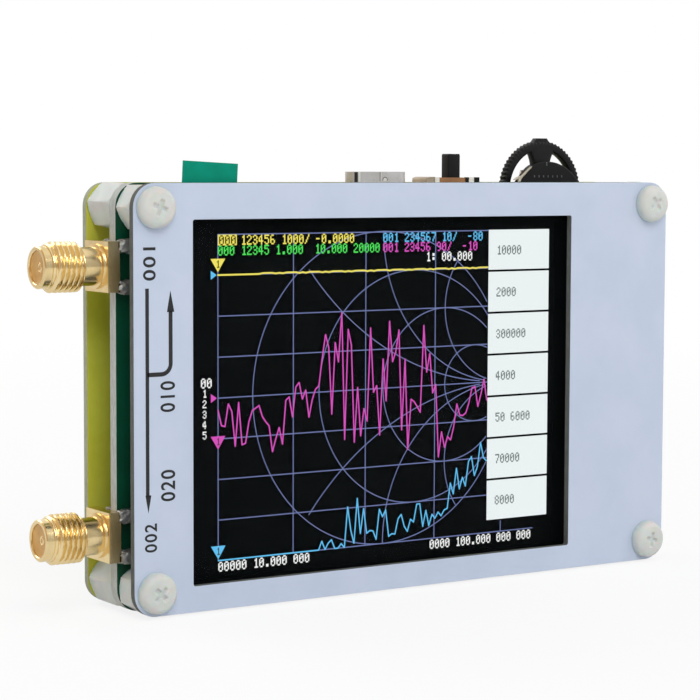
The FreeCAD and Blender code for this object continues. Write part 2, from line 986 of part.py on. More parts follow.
def battery_wire(side):
    """A lead from the cell's upper edge up to the plug; side is -1 below or 1 above."""
    plug = battery_plug().BoundBox
    cell = battery_cell().BoundBox
    offset = side * wire_spacing / 2
    start_x = wire_start + offset
    start_y = (cell.YMin + cell.YMax) / 2
    depth = (plug.YMin + plug.YMax) / 2
    height = (plug.ZMin + plug.ZMax) / 2 + offset
    route = Part.makePolygon([
        V(start_x, start_y, cell.ZMax),
        V(start_x, start_y, cell.ZMax + wire_rise),
        V(start_x - wire_turn, depth, height),
        V(plug.XMax, depth, height),
    ])
    ring = []
    for k in range(wire_sides + 1):
        turn = math.radians(360 / wire_sides * k)
        across = V(wire_radius * math.cos(turn), wire_radius * math.sin(turn), 0)
        ring.append(V(start_x, start_y, cell.ZMax) + across)
    return route.makePipeShell([Part.makePolygon(ring)], True, False, 1)


def battery_wire_red():
    return battery_wire(-1)


def battery_wire_black():
    return battery_wire(1)


def shield_cans():
    cans = []
    for bottom in can_bottoms:
        can = box(can_left, can_left + can_width, board_back, board_back + can_height,
                  bottom, bottom + can_length)
        room = box(
            can_left + can_wall, can_left + can_width - can_wall,
            board_back, board_back + can_height - can_wall,
            bottom + can_wall, bottom + can_length - can_wall,
        )
        cans.append(can.cut(room))
    return cans


def chip(place, size):
    """A flat block on the back of the board, by the place of its middle and its size."""
    (x, below_edge), (width, height, thickness) = place, size
    z = plate_height - below_edge
    return box(
        x - width / 2, x + width / 2,
        board_back, board_back + thickness,
        z - height / 2, z + height / 2,
    )


def leaded_chip(place, size, feet, pitch):
    """A chip a little above the board, with a row of feet on its left and right sides."""
    (x, below_edge), (width, height, thickness) = place, size
    body = chip(place, size).cut(chip(place, (width, height, chip_lift)))
    foot_width = lead_inset + lead_reach
    rows = []
    for side in (-1, 1):
        foot_x = x + side * (width / 2 + foot_width / 2 - lead_inset)
        for k in range(feet):
            foot_below_edge = below_edge + (k - (feet - 1) / 2) * pitch
            foot = (foot_x, foot_below_edge)
            rows.append(chip(foot, (foot_width, pitch / 2, lead_thickness)))
    return body.multiFuse(rows).removeSplitter()


def microcontroller():
    return chip(microcontroller_place, microcontroller_size)


def audio_codec():
    return chip(codec_place, codec_size)


def clock_generator():
    return chip(clock_place, clock_size)


def rf_mixers():
    middle_x = can_left + can_width / 2
    mixers = []
    for bottom in can_bottoms:
        below_edge = plate_height - bottom - can_length / 2
        mixers.append(chip((middle_x, below_edge), mixer_size))
    return mixers


def charger_chip():
    return leaded_chip(charger_place, charger_size, charger_feet, charger_pitch)


def regulators():
    return [
        leaded_chip(place, regulator_size, regulator_feet, regulator_pitch)
        for place in regulator_places
    ]


def crystal():
    return chip(crystal_place, crystal_size)


def power_coil():
    return chip(coil_place, coil_size)


def small_parts(place, size):
    """Two columns of small two-ended parts, from the lowest row upwards."""
    (x, below_edge), width = place, size[0]
    return [
        chip((x + side * width, below_edge - row * small_part_pitch), size)
        for row in range(small_part_rows)
        for side in (-1, 1)
    ]


def capacitors():
    return small_parts(capacitor_place, capacitor_size)


def resistors():
    return small_parts(resistor_place, resistor_size)


def status_lamp():
    return chip(lamp_place, lamp_size)


def for_each_port(make):
    """The same port piece at both heights, upper port first."""
    return [lambda height=height: make(height) for height in port_heights]


PARTS = {
    "front_plate": front_plate,
    "main_board": main_board,
    "back_plate": back_plate,
    "front_screws": front_screws,
    "back_screws": back_screws,
    "front_standoffs": front_standoffs,
    "back_standoffs": back_standoffs,
    "port_solder": port_solder,
    "screen_film": screen_film,
    "film_tab": film_tab,
    "touch_panel": touch_panel,
    "touch_gasket": touch_gasket,
    "lcd_front_glass": lcd_front_glass,
    "lcd_rear_glass": lcd_rear_glass,
    "lcd_driver": lcd_driver,
    "backlight_frame": backlight_frame,
    "light_guide": light_guide,
    "display_tape": display_tape,
    "lcd_flex": lcd_flex,
    "usb_shell": usb_shell,
    "usb_tongue": usb_tongue,
    "usb_contacts": usb_contacts,
    "switch_frame": switch_frame,
    "switch_base": switch_base,
    "switch_terminals": switch_terminals,
    "power_lever": power_lever,
    "jog_base": jog_base,
    "jog_carrier": jog_carrier,
    "jog_wheel": jog_wheel,
    "jog_cover": jog_cover,
    "jog_spring": jog_spring,
    "jog_terminals": jog_terminals,
    "battery_cell": battery_cell,
    "battery_tape": battery_tape,
    "battery_header": battery_header,
    "battery_plug": battery_plug,
    "battery_wire_red": battery_wire_red,
    "battery_wire_black": battery_wire_black,
    "shield_cans": shield_cans,
    "microcontroller": microcontroller,
    "audio_codec": audio_codec,
    "clock_generator": clock_generator,
    "rf_mixers": rf_mixers,
    "charger_chip": charger_chip,
    "regulators": regulators,
    "crystal": crystal,
    "power_coil": power_coil,
    "capacitors": capacitors,
    "resistors": resistors,
    "status_lamp": status_lamp,
}

for piece in (port_body, port_insulator, port_contact):
    for number, make_piece in enumerate(for_each_port(piece), start=1):
        PARTS[piece.__name__.replace("port", f"port_{number}")] = make_piece

if __name__ == "__main__":
    os.makedirs("parts", exist_ok=True)
    for name, make in PARTS.items():
        made = make()
        shape = Part.makeCompound(made) if isinstance(made, list) else made
        shape.exportStep(f"parts/{name}.step")
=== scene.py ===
# %% [markdown]
# A pocket antenna analyzer stands on its lower edge: three circuit boards on nylon spacers, a lit
# display behind the window of the front board, two gold threaded ports on the left, and a socket,
# a slide switch and a thumb wheel on the top edge. The solids come from CAD. This lesson keeps
# those whose shape is already right and gives them a finish, and works out the rest, such as
# threads, screw heads and the picture on the display, as numpy surfaces.

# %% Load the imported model
import math

import bmesh
import bpy
import numpy as np
from mathutils import Matrix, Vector
from mathutils.geometry import tessellate_polygon


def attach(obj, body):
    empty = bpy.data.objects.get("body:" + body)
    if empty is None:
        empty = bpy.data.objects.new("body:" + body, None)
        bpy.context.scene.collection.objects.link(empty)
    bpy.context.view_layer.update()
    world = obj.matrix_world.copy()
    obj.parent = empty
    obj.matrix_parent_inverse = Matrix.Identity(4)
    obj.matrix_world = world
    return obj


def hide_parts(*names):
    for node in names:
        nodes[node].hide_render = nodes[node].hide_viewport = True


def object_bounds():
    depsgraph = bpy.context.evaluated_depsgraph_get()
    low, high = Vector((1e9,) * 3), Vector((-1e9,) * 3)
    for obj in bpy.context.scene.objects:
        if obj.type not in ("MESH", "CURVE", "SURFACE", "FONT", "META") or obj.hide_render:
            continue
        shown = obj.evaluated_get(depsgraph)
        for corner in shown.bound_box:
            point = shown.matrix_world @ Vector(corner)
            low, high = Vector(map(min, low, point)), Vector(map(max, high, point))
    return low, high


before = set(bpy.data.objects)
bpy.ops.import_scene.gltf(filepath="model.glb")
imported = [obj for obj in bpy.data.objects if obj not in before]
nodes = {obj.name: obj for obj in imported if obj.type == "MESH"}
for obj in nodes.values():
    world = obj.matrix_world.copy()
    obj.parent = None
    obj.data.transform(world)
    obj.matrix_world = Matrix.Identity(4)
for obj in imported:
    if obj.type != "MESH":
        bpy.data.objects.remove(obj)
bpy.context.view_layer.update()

# %% [markdown]
# A few places are shared by many pieces: the depths of the three boards' faces and the boards'
# left edge, in millimetres. Two helpers put things in the scene: one links an object, the other
# builds a pose from three directions and a place.

# %% Shared places and poses
FRONT_FACE, FRONT_BACK = -5.55, -4.55
MAIN_FRONT, MAIN_BACK = -0.8, 0.8
BACK_FRONT, BACK_FACE = 7.25, 8.25
BOARD_LEFT = -42.75


def put_in_scene(name, data):
    """An object for a mesh, a curve, a lamp or a camera, linked to the scene."""
    thing = bpy.data.objects.new(name, data)
    bpy.context.scene.collection.objects.link(thing)
    return thing


def pose(across, upward, backward, place):
    """The matrix whose columns are three directions and the place, as cameras and lamps use it:
    both look along the opposite of the third direction."""
    matrix = np.eye(4)
    matrix[:3] = np.stack([across, upward, backward, place], -1)
    return Matrix(matrix.tolist())


print("boards fill", BACK_FACE - FRONT_FACE, "mm of depth")

# %% [markdown]
# The camera comes first, because every later look is judged through it. Its place and turn were
# solved from the corners of the front board, and it is written as a yaw, a pitch and a small roll.
# The sensor and lens give the view's width: a long lens, so the far end shrinks only a little.

# %% Camera
YAW, PITCH, ROLL = (math.radians(a) for a in (33.109, -4.586, 0.195))
SENSOR_MM, LENS_MM = 36.0, 116.89
CAMERA_PLACE = (-0.172531, -0.253205, 0.05595)

ahead = np.array([math.sin(YAW) * math.cos(PITCH), math.cos(YAW) * math.cos(PITCH),
                  math.sin(PITCH)])
level = np.array([math.cos(YAW), -math.sin(YAW), 0.0])
upright = np.cross(level, ahead)
side = level * math.cos(ROLL) + upright * math.sin(ROLL)
top = upright * math.cos(ROLL) - level * math.sin(ROLL)

lens = bpy.data.cameras.new("camera")
lens.sensor_width = SENSOR_MM
lens.lens = LENS_MM
lens.clip_start = 0.01
camera = put_in_scene("camera", lens)
camera.matrix_world = pose(side, top, -ahead, CAMERA_PLACE)
bpy.context.scene.camera = camera
bpy.context.scene.view_settings.view_transform = "Standard"
print("camera looks along", ahead.round(3))

# %% [markdown]
# Finishes are shader graphs. Written as Python arithmetic they stay readable: a Wire holds one
# output socket, and adding or multiplying Wires adds Math nodes. Every other node comes from one
# method, `add`, which sets the node's settings and then its sockets.

# %% Shader arithmetic
def srgb(red, green, blue):
    """A colour as it shows on screen, 0 to 255: each channel raised from screen to linear light."""
    share = np.array([red, green, blue]) / 255
    linear = np.where(share <= 0.04045, share / 12.92, ((share + 0.055) / 1.055) ** 2.4)
    return (*linear.tolist(), 1.0)


class Wire:
    """One output socket, with the operators that the finishes use."""

    def __init__(self, finish, socket):
        self.finish, self.socket = finish, socket

    def math(self, operation, first, second=0.0):
        return self.finish.add("Math", {"operation": operation}, {0: first, 1: second})

    def __add__(self, other):
        return self.math("ADD", self, other)

    def __sub__(self, other):
        return self.math("SUBTRACT", self, other)

    def __rsub__(self, other):
        return self.math("SUBTRACT", other, self)

    def __mul__(self, other):
        return self.math("MULTIPLY", self, other)

    def __gt__(self, other):
        return self.math("GREATER_THAN", self, other)

    def __lt__(self, other):
        return self.math("LESS_THAN", self, other)

    def size(self):
        return self.math("ABSOLUTE", self)

    __radd__ = __add__
    __rmul__ = __mul__


class Finish:
    """A material that is put together from nodes, a few words per node."""

    made = {}

    def __init__(self, name, owner=None):
        self.name = name
        self.material = owner or bpy.data.materials.new(name)
        self.material.use_nodes = True
        self.tree = self.material.node_tree
        self.tree.nodes.clear()

    def add(self, kind, settings=None, sockets=None, output=0):
        node = self.tree.nodes.new("ShaderNode" + kind)
        for key, value in (settings or {}).items():
            setattr(node, key, value)
        for key, value in (sockets or {}).items():
            if isinstance(value, Wire):
                self.tree.links.new(value.socket, node.inputs[key])
            else:
                node.inputs[key].default_value = value
        return Wire(self, node.outputs[output]) if len(node.outputs) else None

    def place(self, scale=(1, 1, 1)):
        """The point on the object, in metres, stretched by a scale along each axis."""
        spot = self.add("TexCoord", output="Object")
        return self.add("Mapping", sockets={"Vector": spot, "Scale": scale})

    def number(self, coordinate, axis):
        """The X, Y or Z of a texture coordinate such as the surface's own Normal."""
        vector = self.add("TexCoord", output=coordinate)
        return self.add("SeparateXYZ", sockets={0: vector}, output=axis)

    def ray(self, kind):
        """1 where the ray is of a kind, such as Camera or Glossy, and 0 elsewhere."""
        return self.add("LightPath", output=f"Is {kind} Ray")

    def noise(self, scale, detail=3.0, rough=0.55, stretch=(1, 1, 1)):
        """Fractal noise from 0 to 1, with about `scale` blobs to the metre."""
        return self.add("TexNoise", sockets={
            "Vector": self.place(stretch), "Scale": scale, "Detail": detail,
            "Roughness": rough})

    def range(self, value, low, high, to_low=0.0, to_high=1.0):
        return self.add("MapRange", sockets={
            "Value": value, "From Min": low, "From Max": high, "To Min": to_low,
            "To Max": to_high})

    def mix(self, share, first, second):
        """The first colour where the share is 0, and the second where it is 1. A colour is a
        wire, three numbers as they show on screen, or four as light."""
        first, second = (colour if isinstance(colour, Wire) or len(colour) == 4 else srgb(*colour)
                         for colour in (first, second))
        return self.add("Mix", {"data_type": "RGBA"}, {0: share, 6: first, 7: second}, output=2)

    def bump(self, height, depth, strength=1.0):
        return self.add("Bump", sockets={"Height": height, "Distance": depth, "Strength": strength})

    def coat(self, sockets):
        """The Principled shader on the output: constants and wires by socket name. The finish is
        kept under its name."""
        shader = self.add("BsdfPrincipled", sockets=sockets)
        self.add("OutputMaterial", sockets={"Surface": shader})
        Finish.made[self.name] = self.material


print("white renders as", srgb(255, 255, 255))

# %% [markdown]
# The object stands on a pale sheet under soft light. The sheet shows nearly white to the camera
# because most of it glows for camera rays alone, and the rest still takes the soft shadow. The
# glow grows with the distance, so that the sheet's far end melts into the white surroundings.
# For reflections the room darkens towards the front, where a studio has its camera, the sheet
# shows grey and the left wall is warm. That gives the metals their bands of light and dark.

# %% Floor and surroundings
GLOW_BY_GLOSS, AMBIENT = 0.35, 0.46

floor_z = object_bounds()[0][2] - 0.0001
sheet = bpy.data.meshes.new("floor")
sheet.from_pydata([(x, y, floor_z) for x, y in ((-3, -3), (3, -3), (3, 3), (-3, 3))], [],
                  [(0, 1, 2, 3)])
put_in_scene("floor", sheet)

paper = Finish("paper")
grain = paper.noise(900.0)
matt = paper.add("BsdfDiffuse", sockets={
    "Color": paper.mix(grain, (236, 236, 236), (246, 246, 246))})
glow = paper.add("Emission", sockets={"Color": (1, 1, 1, 1), "Strength": 1.0})
seen = paper.ray("Camera") + paper.ray("Glossy") * GLOW_BY_GLOSS + paper.ray("Transmission")
distance = paper.add("VectorMath", {"operation": "LENGTH"}, {0: paper.place()}, output="Value")
share = paper.range(distance, 0.06, 0.45, 0.84, 1.0)
lit = paper.add("MixShader", sockets={0: seen * share, 1: matt, 2: glow})
paper.add("OutputMaterial", sockets={"Surface": lit})
sheet.materials.append(paper.material)

world = bpy.data.worlds.new("room")
bpy.context.scene.world = world
room = Finish("room", owner=world)
shiny = room.range(room.number("Generated", "Y"), -0.95, -0.1, 0.5, 1.0)
seen = room.ray("Camera") + room.ray("Transmission")
level_of_light = seen * (1.0 - AMBIENT) + room.ray("Glossy") * (shiny - AMBIENT) + AMBIENT
warmth = room.range(room.number("Generated", "X"), -0.15, -0.6) * room.ray("Glossy")
tint = room.mix(warmth, (255, 255, 255), (214, 190, 166))
sky = room.add("Background", sockets={"Color": tint, "Strength": level_of_light})
room.add("OutputWorld", sockets={"Surface": sky})
print("floor at", round(floor_z * 1000, 2), "mm")


def soft_lamp(name, place, power, aim=(0, 0, 0.03), width=0.6):
    """A square lamp at a place, turned to face a point, by default the object's middle."""
    lamp = bpy.data.lights.new(name, "AREA")
    lamp.size = width
    lamp.energy = power
    away = np.array(place, float) - np.array(aim, float)
    away /= np.linalg.norm(away)
    across = np.cross((0, 0, 1), away)
    across /= np.linalg.norm(across)
    put_in_scene(name, lamp).matrix_world = pose(across, np.cross(away, across), away, place)


soft_lamp("key", (-0.25, -0.75, 0.75), 5.4)
soft_lamp("fill", (0.8, -0.5, 0.5), 2.2)
soft_lamp("rear", (-0.3, 0.8, 0.7), 3.0)

# %% [markdown]
# The three boards are glass-fibre laminate with a satin lacquer. Their sawn edges show the bare
# fibres, so each board's finish looks at the surface's direction: faces to the front and back get
# the lacquer, and edges get streaked fibre. The direction is the object's own, not the camera's.
# On the back plate the face towards the front is a deeper, more saturated yellow than the face
# towards the back: painted shade. The front board's edges are painted dark grey, also as shade.

# %% Finishes of the boards
FACING = 0.7


def edge_mask(finish):
    """1 on a board's sawn edges and 0 on its two faces, from the normal's Y."""
    return finish.number("Normal", "Y").size() < FACING


def board_finish(name, face, face_dark, edge, edge_dark, roughness, behind=None):
    """Lacquer with a faint mottle on the faces, streaks of fibre along the edges. The face that
    looks backwards may have colours of its own; then face and face_dark, kept on the face that
    looks to the front, carry painted shade."""
    board = Finish(name)
    mottle = board.noise(140.0, 4.0)
    fibre = board.noise(900.0, 5.0, 0.7, stretch=(1.0, 9.0, 1.0))
    rim = edge_mask(board)
    lacquer_and_shade = board.mix(board.range(mottle, 0.35, 0.65), face, face_dark)
    if behind:
        weave = board.noise(700.0, 3.0, 0.6, stretch=(4.0, 1.0, 1.0)) * 0.5 + mottle * 0.5
        bare = board.mix(board.range(weave, 0.3, 0.7), *behind)
        # Faces that look backwards get the plain pair; the face to the front keeps the first pair,
        # painted shade on the back plate.
        lacquer_and_shade = board.mix(board.number("Normal", "Y") > FACING, lacquer_and_shade, bare)
    sawn = board.mix(board.range(fibre, 0.3, 0.7), edge, edge_dark)
    fine = board.noise(2600.0, 2.0)
    height = fine * 0.3 + rim * fibre
    board.coat({
        "Base Color": board.mix(rim, lacquer_and_shade, sawn),
        "Roughness": board.range(mottle, 0.3, 0.7, roughness - 0.04, roughness + 0.05) + rim * 0.35,
        "Normal": board.bump(height, 0.00003, 0.5),
        "Specular IOR Level": 0.3,
    })


def dress(finish, names):
    """Puts one finish on the CAD nodes whose shape stays, named with spaces between them."""
    for name in names.split():
        slots = nodes[name].data.materials
        slots.clear()
        slots.append(Finish.made[finish])


# The front board's edges are painted dark grey under their streaks of fibre: painted shade.
board_finish("white_mask", (193, 203, 221), (187, 198, 217), (112, 115, 110), (72, 74, 70), 0.42)
board_finish("green_mask", (0, 72, 48), (0, 58, 38), (204, 208, 206), (160, 160, 152), 0.34)
# The back plate's first pair, a deep saturated yellow on its face towards the main board, is
# painted shade; the pair after it is the outer face's plain colour.
board_finish("bare_laminate", (210, 212, 78), (194, 196, 54), (182, 186, 162), (150, 154, 126), 0.5,
             behind=((196, 197, 126), (186, 187, 112)))
dress("green_mask", "main_board")
dress("bare_laminate", "back_plate")
print("boards dressed")

# %% [markdown]
# The metals differ in colour and in how the light is broken up. Gold plate is polished but keeps
# the marks of turning, tin-plated sheet is brushed along its length, and solder has frozen in
# soft lumps. Each is one metallic shader whose roughness and bump come from stretched noise.

# %% Finishes of the metals
def metal_finish(name, bright, dull, roughness, spread, scale, depth, metallic=1.0, stretch=1.0):
    """Metal between two colours, with streaks of noise in its roughness and its bump. A stretch
    above 1 crowds the noise along X, so that it reads as marks across the piece."""
    metal = Finish(name)
    streak = metal.noise(scale, 4.0, 0.6, (stretch, 1.0, 1.0))
    blotch = metal.noise(260.0)
    metal.coat({
        "Base Color": metal.mix(metal.range(blotch, 0.35, 0.7), bright, dull),
        "Metallic": metallic,
        "Roughness": metal.range(streak, 0.25, 0.75, roughness, roughness + spread),
        "Normal": metal.bump(streak, depth, 0.5),
    })


for recipe in (
    ("gold_plate", (240, 216, 164), (224, 196, 138), 0.14, 0.12, 700.0, 0.00001, 1.0, 9.0),
    ("tin_sheet", (214, 212, 210), (196, 192, 188), 0.24, 0.18, 900.0, 0.00001, 0.6, 8.0),
    ("switch_sheet", (184, 168, 146), (160, 146, 126), 0.4, 0.2, 700.0, 0.00002, 0.4),
    ("pale_clip", (206, 198, 180), (176, 168, 150), 0.35, 0.2, 900.0, 0.00002, 0.4),
    ("bright_wire", (222, 222, 224), (196, 196, 198), 0.14, 0.1, 1500.0, 0.00001),
    ("solder_metal", (176, 176, 172), (120, 120, 116), 0.28, 0.25, 1400.0, 0.00012, 0.8),
):
    metal_finish(*recipe)
dress("tin_sheet", "usb_shell shield_cans jog_cover crystal")
dress("bright_wire", "jog_spring switch_terminals jog_terminals")
dress("gold_plate", "usb_contacts")
print("metals dressed")

# %% [markdown]
# Most other parts are moulded or pressed plastic. One recipe covers them: two close colours
# mottled by noise, a roughness that wavers a little, and a grain as fine as the mould's.

# %% Finishes of the plastics
def plastic_finish(name, light, dark, roughness, grain_scale=1800.0, **constants):
    """Moulded plastic: a mottle of two colours and a fine grain in the bump."""
    plastic = Finish(name)
    mottle = plastic.noise(420.0)
    grain = plastic.noise(grain_scale, rough=0.6)
    plastic.coat({
        "Base Color": plastic.mix(plastic.range(mottle, 0.3, 0.7), light, dark),
        "Roughness": plastic.range(mottle, 0.2, 0.8, roughness, roughness + 0.1),
        "Normal": plastic.bump(grain, 0.00002, 0.4),
    } | constants)


for recipe in (
    ("chip_black", (44, 44, 46), (34, 34, 36), 0.5, 4000.0),
    ("white_plastic", (232, 230, 222), (218, 216, 206), 0.42),
    ("brown_laminate", (160, 112, 70), (126, 84, 50), 0.48, 1200.0),
    ("golden_resin", (222, 176, 104), (204, 154, 84), 0.36),
    ("capacitor_tan", (178, 150, 116), (158, 130, 98), 0.45, 3000.0),
    ("red_lead", (176, 26, 24), (156, 18, 18), 0.3),
    ("black_lead", (30, 30, 32), (22, 22, 24), 0.3),
    ("grey_tips", (84, 86, 88), (60, 62, 64), 0.4),
    ("ink", (22, 22, 26), (14, 14, 18), 0.5),
):
    plastic_finish(*recipe)
for recipe, gloss in (
    (("black_plastic", (17, 17, 18), (10, 10, 11), 0.42), 0.2),
    (("panel_black", (4, 6, 6), (2, 4, 4), 0.55), 0.03),
    (("tab_green", (0, 141, 116), (0, 130, 105), 0.4, 900.0), 0.1),
):
    plastic_finish(*recipe, **{"Specular IOR Level": gloss})
plastic_finish("nylon", (207, 211, 206), (197, 202, 198), 0.44, 1500.0,
               **{"Subsurface Weight": 0.5, "Subsurface Scale": 0.003})
for finish, names in (
    ("black_plastic", "usb_tongue jog_carrier"),
    ("panel_black", "touch_gasket backlight_frame lcd_rear_glass lcd_front_glass"),
    ("chip_black", "lcd_driver microcontroller audio_codec clock_generator rf_mixers "
                   "charger_chip regulators power_coil resistors"),
    ("white_plastic", "light_guide display_tape battery_tape battery_header battery_plug "
                      "status_lamp"),
    ("brown_laminate", "switch_base"),
    ("capacitor_tan", "capacitors"),
    ("red_lead", "battery_wire_red"),
    ("black_lead", "battery_wire_black"),
    ("tab_green", "film_tab"),
):
    dress(finish, names)
print("plastics dressed")

# %% [markdown]
# The touch panel and its film are clear, so they let the display show through. A small alpha does
# that without bent light, and it costs no extra bounces. The battery is a foil pouch with creases,
# and the display's ribbon is amber film over rows of copper tracks.

# %% Clear, foil and ribbon finishes
def clear_finish(name, tint, alpha):
    """A clear skin whose roughness has the smudges of use."""
    clear = Finish(name)
    clear.coat({
        "Base Color": srgb(*tint),
        "Roughness": clear.range(clear.noise(60.0, 4.0), 0.3, 0.8, 0.05, 0.2),
        "Alpha": alpha,
        "Specular IOR Level": 0.2,
    })


clear_finish("clear_panel", (10, 12, 14), 0.03)
clear_finish("clear_film", (70, 78, 84), 0.01)
dress("clear_panel", "touch_panel")
dress("clear_film", "screen_film")

foil = Finish("pouch_foil")
crease = foil.noise(160.0, 6.0, 0.6)
foil.coat({
    "Base Color": foil.mix(crease, (196, 198, 202), (170, 172, 176)),
    "Metallic": 0.8,
    "Roughness": foil.range(crease, 0.3, 0.7, 0.28, 0.42),
    "Normal": foil.bump(crease, 0.0003, 0.6),
})
dress("pouch_foil", "battery_cell")

ribbon = Finish("amber_ribbon")
tracks = ribbon.add("TexWave", {"bands_direction": "Z"}, {
    "Vector": ribbon.place(), "Scale": 320.0, "Distortion": 0.0})
ribbon.coat({
    "Base Color": ribbon.mix(tracks > 0.5, (196, 128, 44), (150, 88, 30)),
    "Roughness": ribbon.range(ribbon.noise(500.0), 0.2, 0.8, 0.28, 0.4),
    "Normal": ribbon.bump(tracks, 0.00002, 0.5),
})
dress("amber_ribbon", "lcd_flex")
print("clear parts dressed")

# %% [markdown]
# New pieces are grids of points, one row per ring. `closed` joins the grids into quads and turns
# each one right side out by the sign of the volume it encloses, `weld` merges the doubles at seams
# and poles, and `moulded` does both and hides the CAD node that the piece stands for. Most grids
# are a profile carried round an axis, a box with soft edges, or a rounded section carried upwards.

# %% Grid surfaces
SHARP_ANGLE = math.radians(38)


def make_piece(name, points, faces, finish, body="main", flat=False):
    """A mesh object at the origin from points in millimetres, riding on a body."""
    mesh = bpy.data.meshes.new(name)
    corners = [list(map(int, face)) for face in faces]
    mesh.from_pydata((np.asarray(points) / 1000).tolist(), [], corners)
    if not flat:
        mesh.validate()
        mesh.polygons.foreach_set("use_smooth", [True] * len(mesh.polygons))
    mesh.materials.append(Finish.made[finish])
    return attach(put_in_scene(name, mesh), body)


def quads(rows, columns):
    """Corner numbers of the quads of a grid whose columns run round and meet again."""
    row, column = np.meshgrid(np.arange(rows - 1), np.arange(columns), indexing="ij")
    start, after = row * columns, (column + 1) % columns
    return np.stack([start + column, start + after, start + columns + after,
                     start + columns + column], -1).reshape(-1, 4)


def closed(grids):
    """Several closed grids as one list of points and faces, each turned outwards: the signed
    volume, the sum over faces of a corner dotted with the cross product of two others, is made
    positive."""
    points, faces, total = [], [], 0
    for grid in grids:
        flat = grid.reshape(-1, 3)
        face = quads(*grid.shape[:2])
        a, b, c, d = (flat[face[:, corner]] - flat.mean(0) for corner in range(4))
        volume = (a * np.cross(b, c)).sum() + (a * np.cross(c, d)).sum()
        points.append(flat)
        faces.append((face if volume > 0 else face[:, ::-1]) + total)
        total += len(flat)
    return np.concatenate(points), np.concatenate(faces)


def weld(piece):
    """Merges the points that meet at seams and poles, and shades flat across sharp corners."""
    shell = bmesh.new()
    shell.from_mesh(piece.data)
    bmesh.ops.remove_doubles(shell, verts=shell.verts, dist=1e-7)
    for edge in shell.edges:
        edge.smooth = len(edge.link_faces) != 2 or edge.calc_face_angle(0) < SHARP_ANGLE
    shell.to_mesh(piece.data)
    shell.free()
    return piece


def moulded(name, grids, finish, node=None, body="main"):
    """Closed grids as one piece; the CAD node that it stands for, if given, is hidden."""
    piece = weld(make_piece(name, *closed(grids), finish, body))
    if node:
        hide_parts(node)
    return piece


def full_turn(columns):
    """Angles at equal steps once round: column / columns of a full turn."""
    return np.arange(columns) / columns * 2 * math.pi


def rings(along, radius, columns):
    """A profile carried round an axis: distance, radius and angle, each one row per ring."""
    s, a = np.meshgrid(along, full_turn(columns), indexing="ij")
    return s, np.broadcast_to(np.array(radius, float)[:, None], s.shape).copy(), a


def squared(wave, power):
    """A sine or cosine raised to a small power with its sign kept, which squares a circle."""
    return np.sign(wave) * np.abs(wave) ** power


def soft_box(low, high, clip=0.06, power=0.16, rows=25, columns=48):
    """A box with soft edges: a superellipsoid, squared in both of a sphere's angles, is stretched
    between two corners after it has been grown by clip and cut back to the box."""
    tilt = np.linspace(-math.pi / 2, math.pi / 2, rows)
    t, w = np.meshgrid(tilt, full_turn(columns), indexing="ij")
    belt = squared(np.cos(t), power)
    unit = np.stack([belt * squared(np.cos(w), power), belt * squared(np.sin(w), power),
                     squared(np.sin(t), power)], -1)
    unit = np.clip(unit * (1 + clip), -1, 1)
    low, high = np.array(low, float), np.array(high, float)
    return (low + high) / 2 + unit * (high - low) / 2


def section(power, columns=24):
    """A rounded square from -1 to 1, as its places across and its places in depth."""
    swing = full_turn(columns)
    return squared(np.cos(swing), power), squared(np.sin(swing), power)


def capped(grid):
    """A grid whose first and last rows are closed by a point each."""
    low, high = (row.mean(1, keepdims=True).repeat(len(row[0]), 1) for row in (grid[:1], grid[-1:]))
    return np.concatenate([low, grid, high])


def pillar(heights, lefts, rights, y0, y1, power=0.25):
    """A rounded section carried upwards between a left and a right edge given per height."""
    across, deep = section(power)
    z, u = np.meshgrid(np.array(heights, float), across, indexing="ij")
    left, right = (np.array(side, float)[:, None] for side in (lefts, rights))
    x = (left + right) / 2 + u * (right - left) / 2
    y = (y0 + y1) / 2 + np.broadcast_to(deep, z.shape) * (y1 - y0) / 2
    return capped(np.stack([x, y, z], -1))


print("a 3 by 4 grid has", len(quads(3, 4)), "quads")

# %% [markdown]
# A port is a gold jack that is soldered to the board's edge. Its barrel carries a real screw
# thread, 36 turns to the inch, which CAD leaves plain. A thread is a surface of revolution whose
# radius also waves along the axis, and the wave slides by one pitch in one turn.

# %% Threaded ports
PORT_Y, PORT_HEIGHTS = 1.2, (43.6, 9.75)
FLANGE_LEFT, FLANGE_HALF, LEG = -44.4, 3.175, 1.2
PITCH_OF_THREAD, CREST, ROOT, NECK = 0.7056, 3.175, 2.74, 2.42
THREAD_ROWS, FIRST_THREAD_ROW = 72, 5
RESIN = ((-1.6, 0), (-1.6, 2.03), (8.0, 2.03), (7.9, 1.92), (7.8, 1.4), (7.75, 0.9), (7.73, 0.5),
         (7.73, 0))
SOCKET = ((-1.6, 0), (-1.6, 0.64), (7.7, 0.64), (7.78, 0.56), (7.8, 0.4), (7.76, 0.26), (5.0, 0.24),
          (5.0, 0))


def along_port(s, r, a, height):
    """Points at distance s to the left of the flange and radius r about the port's axis."""
    return np.stack([FLANGE_LEFT - s, PORT_Y + r * np.cos(a), height + r * np.sin(a)], -1)


